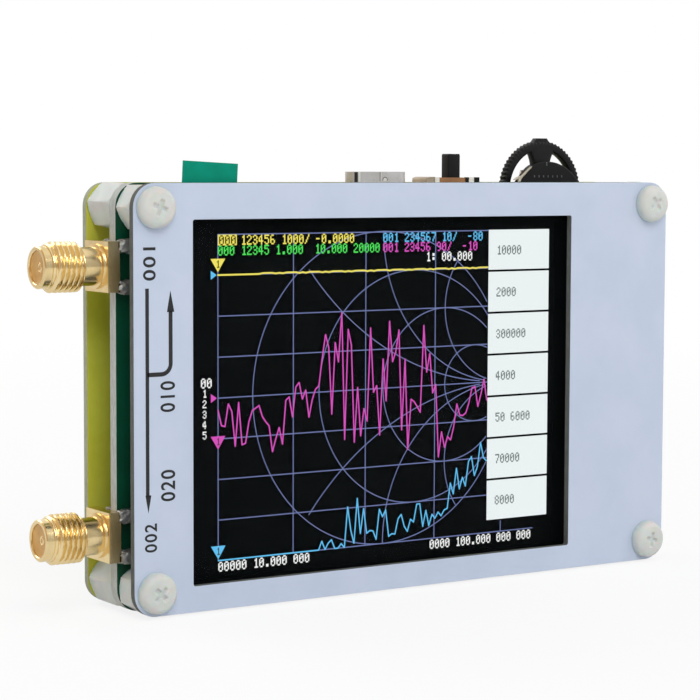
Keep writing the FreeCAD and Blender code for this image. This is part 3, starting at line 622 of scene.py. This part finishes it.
def barrel(height, columns=72):
    """Profile (distance from the flange, radius) carried round the axis. On the threaded run the
    radius is root + (crest - root) * wave, where wave is a clipped triangle of
    distance / pitch - angle / full turn, faded out at both ends."""
    run = np.linspace(2.65, 7.15, THREAD_ROWS)
    along = np.concatenate([[0, 0, 0.35, 0.45, 2.6], run, [7.2, 8.1, 8.25, 8.25, 8.15, 0.2, 0.2]])
    radius = np.concatenate([[0, 2.85, 2.8, NECK, NECK], np.zeros(THREAD_ROWS),
                             [2.62, 2.65, 2.5, 2.14, 2.05, 2.05, 0]])
    s, r, a = rings(along, radius, columns)
    phase = (s / PITCH_OF_THREAD - a / (2 * math.pi)) % 1.0
    wave = np.clip((1 - np.abs(2 * phase - 1)) * 1.7 - 0.25, 0, 1)
    fade = np.clip((s - 2.75) / 0.3, 0, 1) * np.clip((7.0 - s) / 0.4, 0, 1)
    threaded = ROOT + (CREST - ROOT) * wave * fade
    lead_in = np.clip((s - 2.6) / 0.25, 0, 1)
    rows = slice(FIRST_THREAD_ROW, FIRST_THREAD_ROW + THREAD_ROWS)
    r[rows] = (NECK + (threaded - NECK) * lead_in)[rows]
    return along_port(s, r, a, height)


def feet(height):
    """The lower sides of a port's two pairs of legs."""
    return height - FLANGE_HALF, height + FLANGE_HALF - LEG


for number, height in enumerate(PORT_HEIGHTS, start=1):
    resin, socket = (along_port(*rings(*np.array(profile).T, 48), height)
                     for profile in (RESIN, SOCKET))
    port = f"port_{number}_"
    moulded(port + "resin", [resin], "golden_resin", port + "insulator")
    tail = soft_box((BOARD_LEFT - 0.1, PORT_Y - 0.4, height - 0.4),
                    (BOARD_LEFT + 3.4, PORT_Y + 0.4, height + 0.4), power=0.14)
    moulded(port + "socket", [socket, tail], "gold_plate", port + "contact")

low, high = PORT_Y - FLANGE_HALF, PORT_Y + FLANGE_HALF
for number, height in enumerate(PORT_HEIGHTS, start=1):
    port = f"port_{number}_"
    flange = soft_box((FLANGE_LEFT, low, height - FLANGE_HALF),
                      (BOARD_LEFT, high, height + FLANGE_HALF), power=0.12)
    legs = [soft_box((BOARD_LEFT - 0.2, y0, foot), (BOARD_LEFT + 4.0, y1, foot + LEG))
            for foot in feet(height) for y0, y1 in ((low, MAIN_FRONT), (MAIN_BACK, 2.0))]
    moulded(port + "jack", [barrel(height), flange] + legs, "gold_plate", port + "body")
print("ports:", len(PORT_HEIGHTS))

# %% [markdown]
# Solder banks up round each leg of a port and freezes in soft, lumpy drops. A drop is a
# superellipsoid whose points are pushed in and out by a few sine waves.

# %% Solder
def drop(low, high, seed):
    """A soft box pushed along its own direction by three crossed sine waves."""
    shape = soft_box(low, high, clip=0.0, power=0.5, rows=33)
    middle = shape.mean((0, 1))
    x, y, z = np.moveaxis(shape, -1, 0)
    ripple = np.sin(5.1 * x + seed) * np.sin(6.3 * z + 2 * seed) + 0.6 * np.sin(9.7 * y + 3 * seed)
    fine = np.sin(13.0 * x - 2 * seed) * np.sin(15.0 * z + seed)
    return middle + (shape - middle) * (1 + 0.07 * ripple + 0.05 * fine)[..., None]


drops = []
for height in PORT_HEIGHTS:
    for foot in feet(height):
        for y0, y1, seed in ((-2.3, -0.6, height + foot), (0.6, 2.35, height - foot)):
            drops.append(drop((-42.95, y0, foot - 0.3), (-38.2, y1, foot + 1.5), seed))
moulded("solder_drops", drops, "solder_metal", "port_solder")
print("solder drops:", len(drops))

# %% [markdown]
# The nylon screws have pan heads with a soft cross recess. A head is a height field over a disc,
# so its top can sink wherever a point falls inside one of the two crossed bars.

# %% Nylon screws
CORNERS = [(side_x * 39.75, z) for side_x in (-1, 1) for z in (3.0, 51.0)]
CROWN, CROWN_ROWS, CROWN_HEIGHT, RECESS = 1.9, 26, 1.62, 0.34


def smooth_step(value):
    """0 below 0, 1 above 1, and 3 * value^2 - 2 * value^3 between them."""
    value = np.clip(value, 0, 1)
    return value * value * (3 - 2 * value)


def screw(x, z, seat, outward, shank, spin):
    """Radius and height of each ring, carried round the axis. Over the crown, height is a dome
    less the recess, whose depth is a product of soft steps: inside the bar's half width across,
    and inside its length along."""
    crown = np.linspace(0, CROWN, CROWN_ROWS)
    dome = CROWN_HEIGHT - 0.2 * (crown / CROWN) ** 2
    radius = np.concatenate([crown, [2.1, 2.29, 2.43, 2.53, 2.58, 2.6, 2.6, 2.55, 1.45, 1.45, 0.0]])
    height = np.concatenate([dome, [1.32, 1.18, 1.0, 0.77, 0.52, 0.26, 0.08, 0, 0, -shank, -shank]])
    h, r, a = rings(height, radius, 96)
    across, along = np.abs(r * np.cos(a + spin)), np.abs(r * np.sin(a + spin))
    bars = [smooth_step((0.4 - wide) / 0.26) * smooth_step((1.2 - long) / 0.4)
            for wide, long in ((across, along), (along, across))]
    h[:CROWN_ROWS] -= RECESS * np.maximum(*bars)[:CROWN_ROWS]
    return np.stack([x + r * np.cos(a), seat + outward * h, z + r * np.sin(a)], -1)


for name, seat, outward, shank, spins in (
    ("front_screws", FRONT_FACE, -1, 8.0, (0.75, 0.35, 0.2, 0.95)),
    ("back_screws", BACK_FACE, 1, 5.0, (0.5, 1.1, 0.1, 0.6)),
):
    grids = [screw(x, z, seat, outward, shank, spin) for (x, z), spin in zip(CORNERS, spins)]
    moulded(name + "_nylon", grids, "nylon", name)
print("screws:", 2 * len(CORNERS))

# %% [markdown]
# The front board is a plate with a window and four screw holes, and its rims are broken by a fine
# chamfer. Each outline is written once as a function of the chamfer. Walls join the outlines from
# the front to the back, and both faces are the outer outline less its holes, cut into triangles.

# %% Front board
BOARD_TOP, BOARD_RADIUS, SCREW_HOLE, CHAMFER = 54.0, 3.0, 1.6, 0.04
WINDOW, WINDOW_RADIUS = (-34.4, 25.6, 3.3, 49.45), 0.3


def rounded_outline(left, right, low, high, radius, steps=10):
    """A rectangle in X and Z whose corners are quarter circles: at each corner the points are
    centre + radius * (cos a, sin a), with a over one quarter turn."""
    centres = ((right - radius, high - radius), (left + radius, high - radius),
               (left + radius, low + radius), (right - radius, low + radius))
    outline = []
    for quarter, (x, z) in enumerate(centres):
        a = np.linspace(quarter, quarter + 1, steps) * math.pi / 2
        outline.append(np.stack([x + radius * np.cos(a), z + radius * np.sin(a)], -1))
    return np.concatenate(outline)


def board_outlines(chamfer):
    """The outer outline made smaller by the chamfer, the window and the screw holes larger."""
    left, right, low, high = WINDOW
    a, reach = full_turn(32), SCREW_HOLE + chamfer
    return [
        rounded_outline(BOARD_LEFT + chamfer, -BOARD_LEFT - chamfer, chamfer, BOARD_TOP - chamfer,
                        BOARD_RADIUS - chamfer),
        rounded_outline(left - chamfer, right + chamfer, low - chamfer, high + chamfer,
                        WINDOW_RADIUS + chamfer),
    ] + [np.stack([x + reach * np.cos(a), z + reach * np.sin(a)], -1) for x, z in CORNERS]


def walls(outlines, front, back):
    """Two triangles per step of each outline between two layers of points. The first outline's
    wall faces away from its middle, and the walls of the others, which are holes, face theirs."""
    faces, start = [], 0
    for number, outline in enumerate(outlines):
        this = start + np.arange(len(outline))
        after = np.roll(this, -1)
        face = np.concatenate([np.stack([this + front, after + front, after + back], -1),
                               np.stack([this + front, after + back, this + back], -1)])
        faces.append(face if number else face[:, ::-1])
        start += len(outline)
    return np.concatenate(faces)


layers = [(board_outlines(chamfer), y) for chamfer, y in (
    (CHAMFER, FRONT_FACE), (0.0, FRONT_FACE + CHAMFER), (0.0, FRONT_BACK))]
outlines = layers[0][0]
drawn = np.concatenate(outlines)
count = len(drawn)
points = np.concatenate([np.insert(np.concatenate(layer), 1, y, axis=1) for layer, y in layers])
loops = [np.insert(outline, 2, 0, axis=1).tolist() for outline in outlines]
cover = np.array(tessellate_polygon(loops))
first, second, third = (drawn[cover[:, corner]] for corner in range(3))
area = np.cross(second - first, third - first)
cover[area < 0] = cover[area < 0][:, ::-1]
faces = np.concatenate([cover, cover[:, ::-1] + 2 * count,
                        walls(outlines, 0, count), walls(outlines, count, 2 * count)])
front_board = weld(make_piece("front_board", points, faces, "white_mask"))
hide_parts("front_plate")
print("front board:", len(points), "points")

# %% [markdown]
# The spacers are cut from hexagon bar, and the lathe turns their corners off at both ends. So
# the radius of a point is the smaller of the hexagon's and the chamfer's cone.

# %% Nylon spacers
def spacer(x, z, start, length, turned):
    """Radius = min(apothem / cos(angle to the nearest flat), corner - chamfer near the ends)."""
    ends = np.array([0, 0.0, 0.12, 0.3, 0.5])
    steps = np.concatenate([ends, [0.5], ends[::-1]])
    along = np.concatenate([ends, [length / 2], length - ends[::-1]])
    s, cone, a = rings(along, 2.66 + steps * 1.04, 96)
    flat = (a - math.radians(turned)) % (math.pi / 3) - math.pi / 6
    r = np.minimum(2.75 / np.cos(flat), cone)
    r[0] = r[-1] = 0
    return np.stack([x + r * np.cos(a), start + s, z + r * np.sin(a)], -1)


for name, start, end, turns in (
    ("front_standoffs", FRONT_BACK, MAIN_FRONT, (30, 0, 14, 42)),
    ("back_standoffs", MAIN_BACK, BACK_FRONT, (52, 49, 22, 8)),
):
    grids = [spacer(x, z, start, end - start, turned) for (x, z), turned in zip(CORNERS, turns)]
    moulded(name + "_nylon", grids, "nylon", name)
print("spacers:", 2 * len(CORNERS))

# %% [markdown]
# The thumb wheel is half a knurled rim on one flared spoke. Its rim is a rounded section carried
# round an arc, and the outer edge of the section dips at each notch. The spoke and the lug are
# sections carried upwards, whose width changes with the height.

# %% Thumb wheel
WHEEL_X, WHEEL_Z, HUB_Z = 26.3, 52.95, 53.15
WHEEL_Y0, WHEEL_Y1 = 2.05, 3.35


def rim(outer=6.9, width=1.3, notches=37, depth=0.2):
    """Arc from 9 degrees below one side to 9 below the other; outer radius less the notch's
    depth times a triangle wave, and the section's Y across the wheel's thickness."""
    steps = notches * 6 + 1
    angle = np.radians(np.linspace(-9, 189, steps))
    notch = np.abs((np.arange(steps) / 6 % 1) * 2 - 1)
    across, deep = section(0.35)
    a, u = np.meshgrid(angle, across, indexing="ij")
    reach = np.where(u > 0.3, outer - depth * notch[:, None], outer)
    r = reach - width / 2 + u * width / 2
    y = (WHEEL_Y0 + WHEEL_Y1) / 2 + np.broadcast_to(deep, a.shape) * (WHEEL_Y1 - WHEEL_Y0) / 2
    return capped(np.stack([WHEEL_X + r * np.cos(a), y, WHEEL_Z + r * np.sin(a)], -1))


def disc(x, z, radius, y0, y1, edge=0.12):
    """A flat disc with a rounded edge, facing the front."""
    depths = (y0, y0, y0 + edge, y1 - edge, y1, y1)
    y, r, a = rings(depths, (0, radius - edge, radius, radius, radius - edge, 0), 64)
    return np.stack([x + r * np.cos(a), y, z + r * np.sin(a)], -1)


rise = np.linspace(0, 1, 13)
spoke = 1.35 + 1.2 * np.clip((rise - 0.45) / 0.55, 0, 1) ** 2
lug = np.array([1.7, 1.25, 1.02, 0.95])
moulded("thumb_wheel", [
    rim(),
    disc(WHEEL_X, HUB_Z, 3.6, WHEEL_Y0, WHEEL_Y1),
    pillar(53.6 + rise * 5.3, WHEEL_X - spoke, WHEEL_X + spoke, WHEEL_Y0, WHEEL_Y1),
    pillar([59.2, 59.8, 60.05, 60.17], WHEEL_X - lug, WHEEL_X + lug, WHEEL_Y0 + 0.1,
           WHEEL_Y1 - 0.1),
], "black_plastic", "jog_wheel", "wheel")
print("thumb wheel made")

# %% [markdown]
# The wheel's base is a moulded plate with a domed top, a row of teeth under the dome, two rails
# and two posts. A bent strip of pale metal leans on it. A small grey mark above the teeth is a
# painted glint. The plate is one outline shrunk to a point in front and behind.

# %% Wheel base
DOME_LEFT, DOME_RIGHT, DOME_RADIUS, DOME_Z, BASE_FOOT = 20.3, 32.3, 6.75, 50.15, 46.6


def domed_plate():
    """Outline by x from one side to the other: the top is an arc of the dome's radius about a low
    middle, and the sides and the foot are straight. Each row is the outline times a share."""
    over, under = np.linspace(DOME_LEFT, DOME_RIGHT, 60), np.linspace(DOME_RIGHT, DOME_LEFT, 100)
    dome = DOME_Z + np.sqrt(DOME_RADIUS ** 2 - (over - WHEEL_X) ** 2)
    outline = np.stack([np.concatenate([over, under]),
                        np.concatenate([dome, np.full(100, BASE_FOOT)])], -1)
    middle = np.array([WHEEL_X, 50.5])
    share = np.array([0, 0.5, 0.985, 1, 1, 0.985, 0.5, 0])
    y = np.array([0.8, 0.8, 0.8, 0.88, 1.27, 1.35, 1.35, 1.35])
    flat = middle + share[:, None, None] * (outline - middle)
    return np.stack([flat[..., 0], np.broadcast_to(y[:, None], flat.shape[:2]), flat[..., 1]], -1)


base = [domed_plate()]
for side_x in (-1, 1):
    x = WHEEL_X + side_x * 3.8
    base.append(soft_box((x - 0.5, 1.3, 47.2), (x + 0.5, 1.9, 52.5)))
    x = WHEEL_X + side_x * 5.1
    base.append(soft_box((x - 0.65, 1.3, 47.6), (x + 0.65, 4.1, 48.9)))
moulded("wheel_base", base, "black_plastic", "jog_base")

teeth_and_glint = [soft_box((x - 0.1, 0.74, 54.66), (x + 0.1, 0.9, 54.98), power=0.3, rows=9, columns=16)
         for x in np.linspace(23.9, 28.75, 7)]
# This last small grey mark, above the teeth near the top of the dome, is a painted glint.
teeth_and_glint.append(soft_box((25.95, 0.74, 56.3), (26.17, 0.9, 56.8), power=0.4, rows=9, columns=16))
moulded("wheel_teeth_and_glint", teeth_and_glint, "grey_tips")

STRAP = ((54.1, 20.9, 21.3), (54.5, 21.0, 21.5), (54.8, 21.3, 21.8), (55.2, 21.8, 22.3),
         (55.6, 22.3, 22.7), (56.0, 22.8, 23.2), (56.2, 23.1, 23.35))
HOOK = ((54.3, 20.15, 20.4), (54.4, 20.15, 20.8), (54.6, 20.4, 21.4), (54.8, 20.9, 21.6),
        (54.9, 21.1, 21.5))
clip = [pillar(*np.array(edges).T, 0.5, 0.82, 0.5) for edges in (STRAP, HOOK)]
moulded("spring_arm", clip, "pale_clip")
print("wheel base pieces:", len(base) + len(teeth_and_glint) + 2)

# %% [markdown]
# The slide switch is a folded metal can round a brown block. The can's two ends are closed, tabs
# and slots break its front, and a groove runs over the top of the knob.

# %% Slide switch
END_FRONT, CAN_BACK, CAN_FOOT = 0.82, 4.4, 50.2
KNOB_LEFT, KNOB_RIGHT, KNOB_FOOT, KNOB_SHOULDER = 9.75, 11.77, 51.55, 52.6

can = [pillar([CAN_FOOT, *heights], lefts, rights, END_FRONT, CAN_BACK, 0.16)
       for heights, lefts, rights in (
           ((54.3, 54.6, 54.74), (5.45, 5.45, 5.6, 6.0), (7.12, 7.12, 7.12, 7.0)),
           ((54.3, 54.55, 54.64), (12.68, 12.68, 12.68, 12.8), (14.35, 14.35, 14.3, 14.0)))]
can.append(soft_box((5.6, 4.12, CAN_FOOT), (14.2, CAN_BACK, 54.6)))
moulded("switch_can", can, "switch_sheet", "switch_frame")
for name, finish, spans in (
    ("switch_tabs", "white_plastic", ((6.85, 7.55), (12.55, 13.35))),
    ("switch_slots", "black_plastic", ((11.95, 12.45), (13.5, 14.3))),
):
    blocks = [soft_box((x0, 0.7, 52.8), (x1, 1.1, 54.7), power=0.2, rows=13, columns=24)
              for x0, x1 in spans]
    moulded(name, blocks, finish)

levels = [KNOB_FOOT, 51.6, KNOB_SHOULDER, 53.0, 57.6, 57.76, 57.86, 57.9]
taper = np.array([0.0, 0.0, 0.0, 0.0, 0.0, 0.02, 0.08, 0.2])
knob = pillar(levels, KNOB_LEFT + taper, KNOB_RIGHT - taper, 1.75, 3.45, 0.16)
groove = 0.16 * np.exp(-((knob[..., 0] - 10.95) / 0.22) ** 2)
knob[..., 2] -= np.where(knob[..., 2] > 57.7, groove, 0)
foot = soft_box((KNOB_LEFT, 1.4, KNOB_FOOT), (KNOB_RIGHT, 3.8, KNOB_SHOULDER))
moulded("switch_knob", [knob, foot], "black_plastic", "power_lever", "lever")
print("switch pieces:", 4)

# %% [markdown]
# The marks on the front board are printed ink: a line with two arrow heads and four numerals
# that read upwards. Ink is a film, so each mark is a flat outline a hundredth of a millimetre
# proud of the lacquer. Numerals come from a text curve that is made a mesh.

# %% Printed marks
INK_Y = FRONT_FACE - 0.012


def ribbon_strip(path, width):
    """A flat strip along a path in X and Z: each point is moved to both sides along the path's
    normal, which is the tangent turned by a right angle."""
    path = np.array(path, float)
    tangent = np.gradient(path, axis=0)
    tangent /= np.linalg.norm(tangent, axis=1)[:, None]
    normal = np.stack([-tangent[:, 1], tangent[:, 0]], -1) * width / 2
    return np.concatenate([path + normal, path - normal]), strip_faces(len(path))


def strip_faces(count):
    """Quads between two rows of count points each."""
    index = np.arange(count - 1)
    return np.stack([index, index + 1, index + 1 + count, index + count], -1)


def flat_piece(name, parts, y, finish):
    """Flat outlines in X and Z as one piece at one depth, all facing the front."""
    points, faces, total = [], [], 0
    for outline, face in parts:
        outline = np.asarray(outline, float)
        points.append(np.insert(outline, 1, y, axis=1))
        for corners in face:
            loop = outline[list(corners)]
            following = np.roll(loop, -1, 0)
            area = (loop[:, 0] * following[:, 1] - following[:, 0] * loop[:, 1]).sum()
            faces.append([corner + total for corner in (corners if area > 0 else corners[::-1])])
        total += len(outline)
    return make_piece(name, np.concatenate(points), faces, finish, flat=True)


def numeral(text, x_range, z_range):
    """A text curve's mesh stretched into a frame, turned a quarter so that it reads upwards."""
    curve = bpy.data.curves.new("numeral", "FONT")
    curve.body = text
    curve.offset = 0.016
    curve.space_character = 1.15
    holder = put_in_scene("numeral", curve)
    bpy.context.view_layer.update()
    mesh = bpy.data.meshes.new_from_object(holder)
    flat = np.array([vertex.co[:2] for vertex in mesh.vertices])
    face = [tuple(polygon.vertices) for polygon in mesh.polygons]
    bpy.data.objects.remove(holder)
    bpy.data.curves.remove(curve)
    bpy.data.meshes.remove(mesh)
    share = (flat - flat.min(0)) / np.ptp(flat, axis=0)
    x = x_range[1] - share[:, 1] * (x_range[1] - x_range[0])
    z = z_range[0] + share[:, 0] * (z_range[1] - z_range[0])
    return np.stack([x, z], -1), face


bend = np.linspace(0, math.pi / 2, 9)
branch = np.concatenate([
    [(-40.88, 30.345), (-38.95, 30.345)],
    np.stack([-38.905 + 1.3 * np.sin(bend), 31.645 - 1.3 * np.cos(bend)], -1),
    [(-37.605, 31.7), (-37.605, 38.2)],
])
marks = [
    ribbon_strip([(-40.885, 41.03), (-40.885, 30.0), (-40.885, 15.2)], 0.5),
    ribbon_strip(branch, 0.55),
    ([(-41.21, 15.35), (-40.38, 15.35), (-40.79, 13.11)], [(0, 1, 2)]),
    ([(-38.12, 38.05), (-37.08, 38.05), (-37.62, 40.73)], [(0, 1, 2)]),
    numeral("001", (-41.42, -39.67), (42.0, 46.1)),
    numeral("002", (-41.31, -39.59), (8.18, 11.77)),
    numeral("010", (-39.07, -37.0), (25.61, 29.46)),
    numeral("020", (-39.02, -37.0), (14.43, 18.37)),
]
flat_piece("printed_marks", marks, INK_Y, "ink")
print("printed marks:", len(marks))

# %% [markdown]
# The socket's shell is rolled from sheet, so its two ends meet in a seam with a small round
# joint, and a pressed spring finger shows as a dark slot. A pale strip beside each dark line and a
# pale fill inside the joint's ring are painted highlights. They are drawn flat and then pressed on
# the shell, whose front face bends away at its left end in a quarter circle.

# %% Seams of the socket
BEND_X, BEND_Y, BEND_RADIUS = -4.92, 2.25, 1.45
JOINT_X, JOINT_Z = -1.36, 54.33


def band(left, right, low, high, steps=7):
    """An upright band as a row of quads, so that it can follow the bend."""
    x = np.linspace(left, right, steps)
    return (np.concatenate([np.stack([x, np.full(steps, z)], -1) for z in (low, high)]),
            strip_faces(steps))


def on_shell(name, parts, proud, finish):
    """Drawn parts pressed on the shell, a little proud: y = middle - sqrt(radius^2 - x^2), where x
    is the distance left of the bend's middle, or 0 on the straight face."""
    piece = flat_piece(name, parts, 0.0, finish)
    spots = np.array([vertex.co for vertex in piece.data.vertices])
    x = np.minimum(spots[:, 0] * 1000 - BEND_X, 0)
    spots[:, 1] = (BEND_Y - np.sqrt((BEND_RADIUS + proud) ** 2 - x ** 2)) / 1000
    piece.data.vertices.foreach_set("co", spots.ravel().tolist())
    piece.data.update()


arc = np.linspace(-0.3, math.pi + 0.3, 25)
joint = np.stack([JOINT_X + 0.36 * np.cos(arc), JOINT_Z + 0.36 * np.sin(arc)], -1)
slots = [band(-5.99, -5.62, 54.03, 55.36), band(-2.215, -2.125, 54.2, 55.38),
         ribbon_strip(joint, 0.09)]
# Pale strips beside the dark lines and the joint's pale fill: painted highlights on the metal.
painted_highlights = [band(-5.53, -5.29, 54.03, 55.38), band(-2.085, -1.955, 54.2, 55.38),
          (np.concatenate([joint, [[JOINT_X, 54.2]]]), [tuple(range(len(joint) + 1))])]
on_shell("usb_slots", slots, 0.014, "ink")
on_shell("usb_painted_highlights", painted_highlights, 0.01, "white_plastic")
print("seam strokes:", len(slots) + len(painted_highlights))

# %% [markdown]
# The display shows a measurement: a chart grid, circles of a reflection chart, three traces, and
# a column of white menu keys. It is drawn as thin glowing shapes just in front of the glass, in
# the display's own 320 by 240 dots. All lettering is plain numerals in a 4 by 7 dot font.

# %% Drawing on the display
SCREEN_Y, LAYER = -3.176, 0.004
DOTS_ACROSS, DOTS_DOWN = 320, 240
PICTURE_LEFT, PICTURE_TOP, PICTURE_WIDTH, PICTURE_HEIGHT = -32.1, 47.56, 55.6, 43.2
DOT = PICTURE_WIDTH / DOTS_ACROSS


def on_screen(u, v):
    """Dots across and down from the picture's upper left corner, as X and Z in millimetres."""
    down = np.asarray(v, float) * PICTURE_HEIGHT / DOTS_DOWN
    return np.stack([PICTURE_LEFT + np.asarray(u, float) * DOT, PICTURE_TOP - down], -1)


def glow_finish(name, colour):
    """Light of one colour, with the display's faint grid of dots in it."""
    light = Finish(name)
    dots = light.add("TexWave", {"bands_direction": "X"}, {
        "Vector": light.place(), "Scale": 2 * math.pi * 1000 / DOT / 20, "Distortion": 0.0})
    bright = srgb(*colour)
    dim = tuple(0.94 * channel for channel in bright[:3]) + (1.0,)
    light.coat({
        "Base Color": (0.0, 0.0, 0.0, 1.0),
        "Specular IOR Level": 0.0,
        "Emission Color": light.mix(dots, dim, bright),
        "Emission Strength": 1.0,
    })


def picture(name, colour, parts, layer):
    """One colour of the picture, a few thousandths of a millimetre in front of the last."""
    glow_finish(name + "_glow", colour)
    flat_piece("picture_" + name, parts, SCREEN_Y - LAYER * layer, name + "_glow")


def frame_of(u0, v0, u1, v1):
    """A filled rectangle between two corners."""
    return on_screen([u0, u1, u1, u0], [v0, v0, v1, v1]), [(0, 1, 2, 3)]


def line(points, width=1.0):
    """A polyline as one quad per segment, each a little longer than its segment."""
    path = on_screen(*np.array(points, float).T)
    start, end = path[:-1], path[1:]
    step = end - start
    step = step / np.maximum(np.linalg.norm(step, axis=1), 1e-9)[:, None]
    half = width * DOT / 2
    normal = np.stack([-step[:, 1], step[:, 0]], -1) * half
    start, end = start - step * half * 0.7, end + step * half * 0.7
    corners = np.stack([start - normal, end - normal, end + normal, start + normal], 1)
    return corners.reshape(-1, 2), np.arange(4 * len(corners)).reshape(-1, 4)


FONT = {
    "0": "69BD996", "1": "2622227", "2": "691248F", "3": "6916196", "4": "26AAF22",
    "5": "F8E1196", "6": "688E996", "7": "F112244", "8": "6996996", "9": "6997116",
    ".": "0000066", "-": "000E000", "/": "1122448", ":": "0660660", " ": "0000000",
}


def numerals(text, u, v, pitch=5.0, down=False, scale=1.0):
    """Dots of a text as quads: each hex digit of a glyph is one row of four dots."""
    step_u, step_v = (0, pitch) if down else (pitch, 0)
    spots = [(u + place * step_u + column * scale, v + place * step_v + row * scale)
             for place, letter in enumerate(text)
             for row, code in enumerate(FONT[letter])
             for column in range(4) if int(code, 16) >> (3 - column) & 1]
    corner = np.array([(0, 0), (1.06, 0), (1.06, 1.06), (0, 1.06)]) * scale
    corners = (np.array(spots)[:, None, :] + corner[None]).reshape(-1, 2)
    return on_screen(corners[:, 0], corners[:, 1]), np.arange(len(corners)).reshape(-1, 4)


print("one dot is", round(DOT, 3), "mm")

# %% [markdown]
# The chart behind the traces is the standard reflection chart: circles of equal resistance meet
# at the right end of the outer circle, and arcs of equal reactance cross them at right angles.
# Both are plain circles, so each is sampled by angle and cut where it leaves the outer one.

# %% Grid and chart
CHART_U, CHART_V, CHART_R = 160.5, 116.0, 116.0
LEFT, RIGHT, TOP, BOTTOM, MENU = 15.0, 306.0, 0.5, 232.0, 260.0
ROW, COLUMN, GRID_WIDTH = 29, 64.7, 0.8


def circle(centre_u, centre_v, radius):
    """A circle in chart radii about a centre, kept only inside the outer circle and the grid."""
    angle = np.linspace(0, 2 * math.pi, 181)
    u = CHART_U + CHART_R * (centre_u + radius * np.cos(angle))
    v = CHART_V + CHART_R * (centre_v + radius * np.sin(angle))
    inside = (np.hypot(u - CHART_U, v - CHART_V) <= CHART_R * 1.001) & (u <= MENU)
    return [line([(u[first], v[first]), (u[first + 1], v[first + 1])], 0.75)
            for first in np.flatnonzero(inside[:-1] & inside[1:])]


chart = [line([(LEFT, ROW * row), (MENU if row < 8 else RIGHT, ROW * row)], GRID_WIDTH)
         for row in range(1, 9)]
chart.append(line([(LEFT, TOP), (MENU, TOP)], GRID_WIDTH))
for u in LEFT + COLUMN * np.arange(5):
    chart.append(line([(u, TOP if u < MENU else 224), (u, BOTTOM)], GRID_WIDTH))
for centre_u, centre_v, radius in (
    (0, 0, 1), (0.25, 0, 0.75), (0.5, 0, 0.5), (0.75, 0, 0.25),
    (1, 0.5, 0.5), (1, -0.5, 0.5), (1, 1, 1), (1, -1, 1), (1, 2, 2), (1, -2, 2),
):
    chart += circle(centre_u, centre_v, radius)
picture("grid", (116, 128, 178), chart, 0)
print("chart strokes:", len(chart))

# %% [markdown]
# The traces are noise with a shape: a seeded random walk through the places where the sweep has
# strong peaks. The same seed gives the same trace each time, so every render agrees.

# %% Traces, markers and numerals
LEVEL_V = 29
dice = np.random.default_rng(7)
sweep = np.arange(LEFT, MENU + 0.1, 2.91)


def shaped(centres, spreads, power):
    """Random steps about a centre line, both read from a short table of (u, value)."""
    centre = np.interp(sweep, *zip(*centres))
    spread = np.interp(sweep, *zip(*spreads))
    return centre + spread * squared(dice.uniform(-1, 1, len(sweep)), power)


phase = shaped(
    [(15, 120), (30, 138), (75, 132), (95, 112), (125, 112), (200, 112), (212, 150), (220, 163),
     (232, 134), (260, 120)],
    [(15, 14), (60, 24), (84, 14), (100, 30), (125, 56), (150, 48), (205, 56), (216, 6), (225, 8),
     (260, 12)], 0.8)
ripple = np.round(np.abs(np.sin(sweep * 1.7)) * 1.2) * 0.6
level_trace = LEVEL_V - np.where(sweep > 50, ripple, 0)
climb = np.interp(sweep, [15, 102, 205, 225, 260], [0, 0, 14, 26, 60])
peaks = np.interp(sweep, [15, 98, 104, 200, 260], [0, 0, 9, 13, 9])
spikes = np.abs(dice.normal(0, 1, len(sweep))) ** 1.6 * peaks
gain = BOTTOM - np.clip(climb + spikes - 4 * (sweep > 102), 0, 70)


def marker(u, v):
    """A triangle that stands on its tip at a point of a trace."""
    return on_screen([u - 6.2, u + 6.2, u], [v - 9.5, v - 9.5, v]), [(0, 1, 2)]


def pointer(u, v):
    """A small triangle that points right, at the height where a trace has its zero."""
    return on_screen([u - 5, u, u - 5], [v - 3.2, v, v + 3.2]), [(0, 1, 2)]


picture("phase", (222, 88, 196), [
    line(np.stack([sweep, phase], -1), 1.05), pointer(14, CHART_V), marker(LEFT, phase[0] + 28),
    numerals("001 23456 90/  -10", 160, 8.3),
], 1)
picture("level", (250, 236, 104), [
    line(np.stack([sweep, level_trace], -1), 1.25), marker(LEFT, 27),
    numerals("123456 1000/ -0.0000", 34.5, 1.0), frame_of(LEFT, 0.6, 31, 8.2),
], 2)
picture("gain", (104, 200, 250), [
    line(np.stack([sweep, gain], -1), 1.05), marker(LEFT, 231), pointer(14, LEVEL_V),
    numerals("001 234567 10/  -80", 160, 1.0),
], 3)
picture("second", (84, 232, 96), [
    numerals("000 12345 1.000  10.000 20000", LEFT, 8.3, 4.92),
], 4)
picture("white", (250, 252, 250), [
    numerals("1: 00.000", 200, 15.8), numerals("00000 10.000 000", LEFT, 233),
    numerals("0000 100.000 000 000", 205, 233), numerals("00", 0.6, 101.5),
    numerals("12345", 2.0, 109.5, 7.4, True, 0.8),
], 5)
tags = [numerals("1", 13.4, v, scale=0.75) for v in (18.6, phase[0] + 19.6, 222.6)]
picture("tag", (70, 60, 10), [numerals("000", 16, 1.0)] + tags, 6)

texts = ("10000", "2000", "300000", "4000", "50 6000", "70000", "8000")
keys = [frame_of(MENU, 32 * row, DOTS_ACROSS, 32 * row + 30.4) for row in range(len(texts))]
captions = [numerals(text, 268, 32 * row + 12) for row, text in enumerate(texts)]
picture("keys", (246, 254, 254), keys, 6)
picture("captions", (120, 128, 128), captions, 7)
print("trace points:", len(sweep))
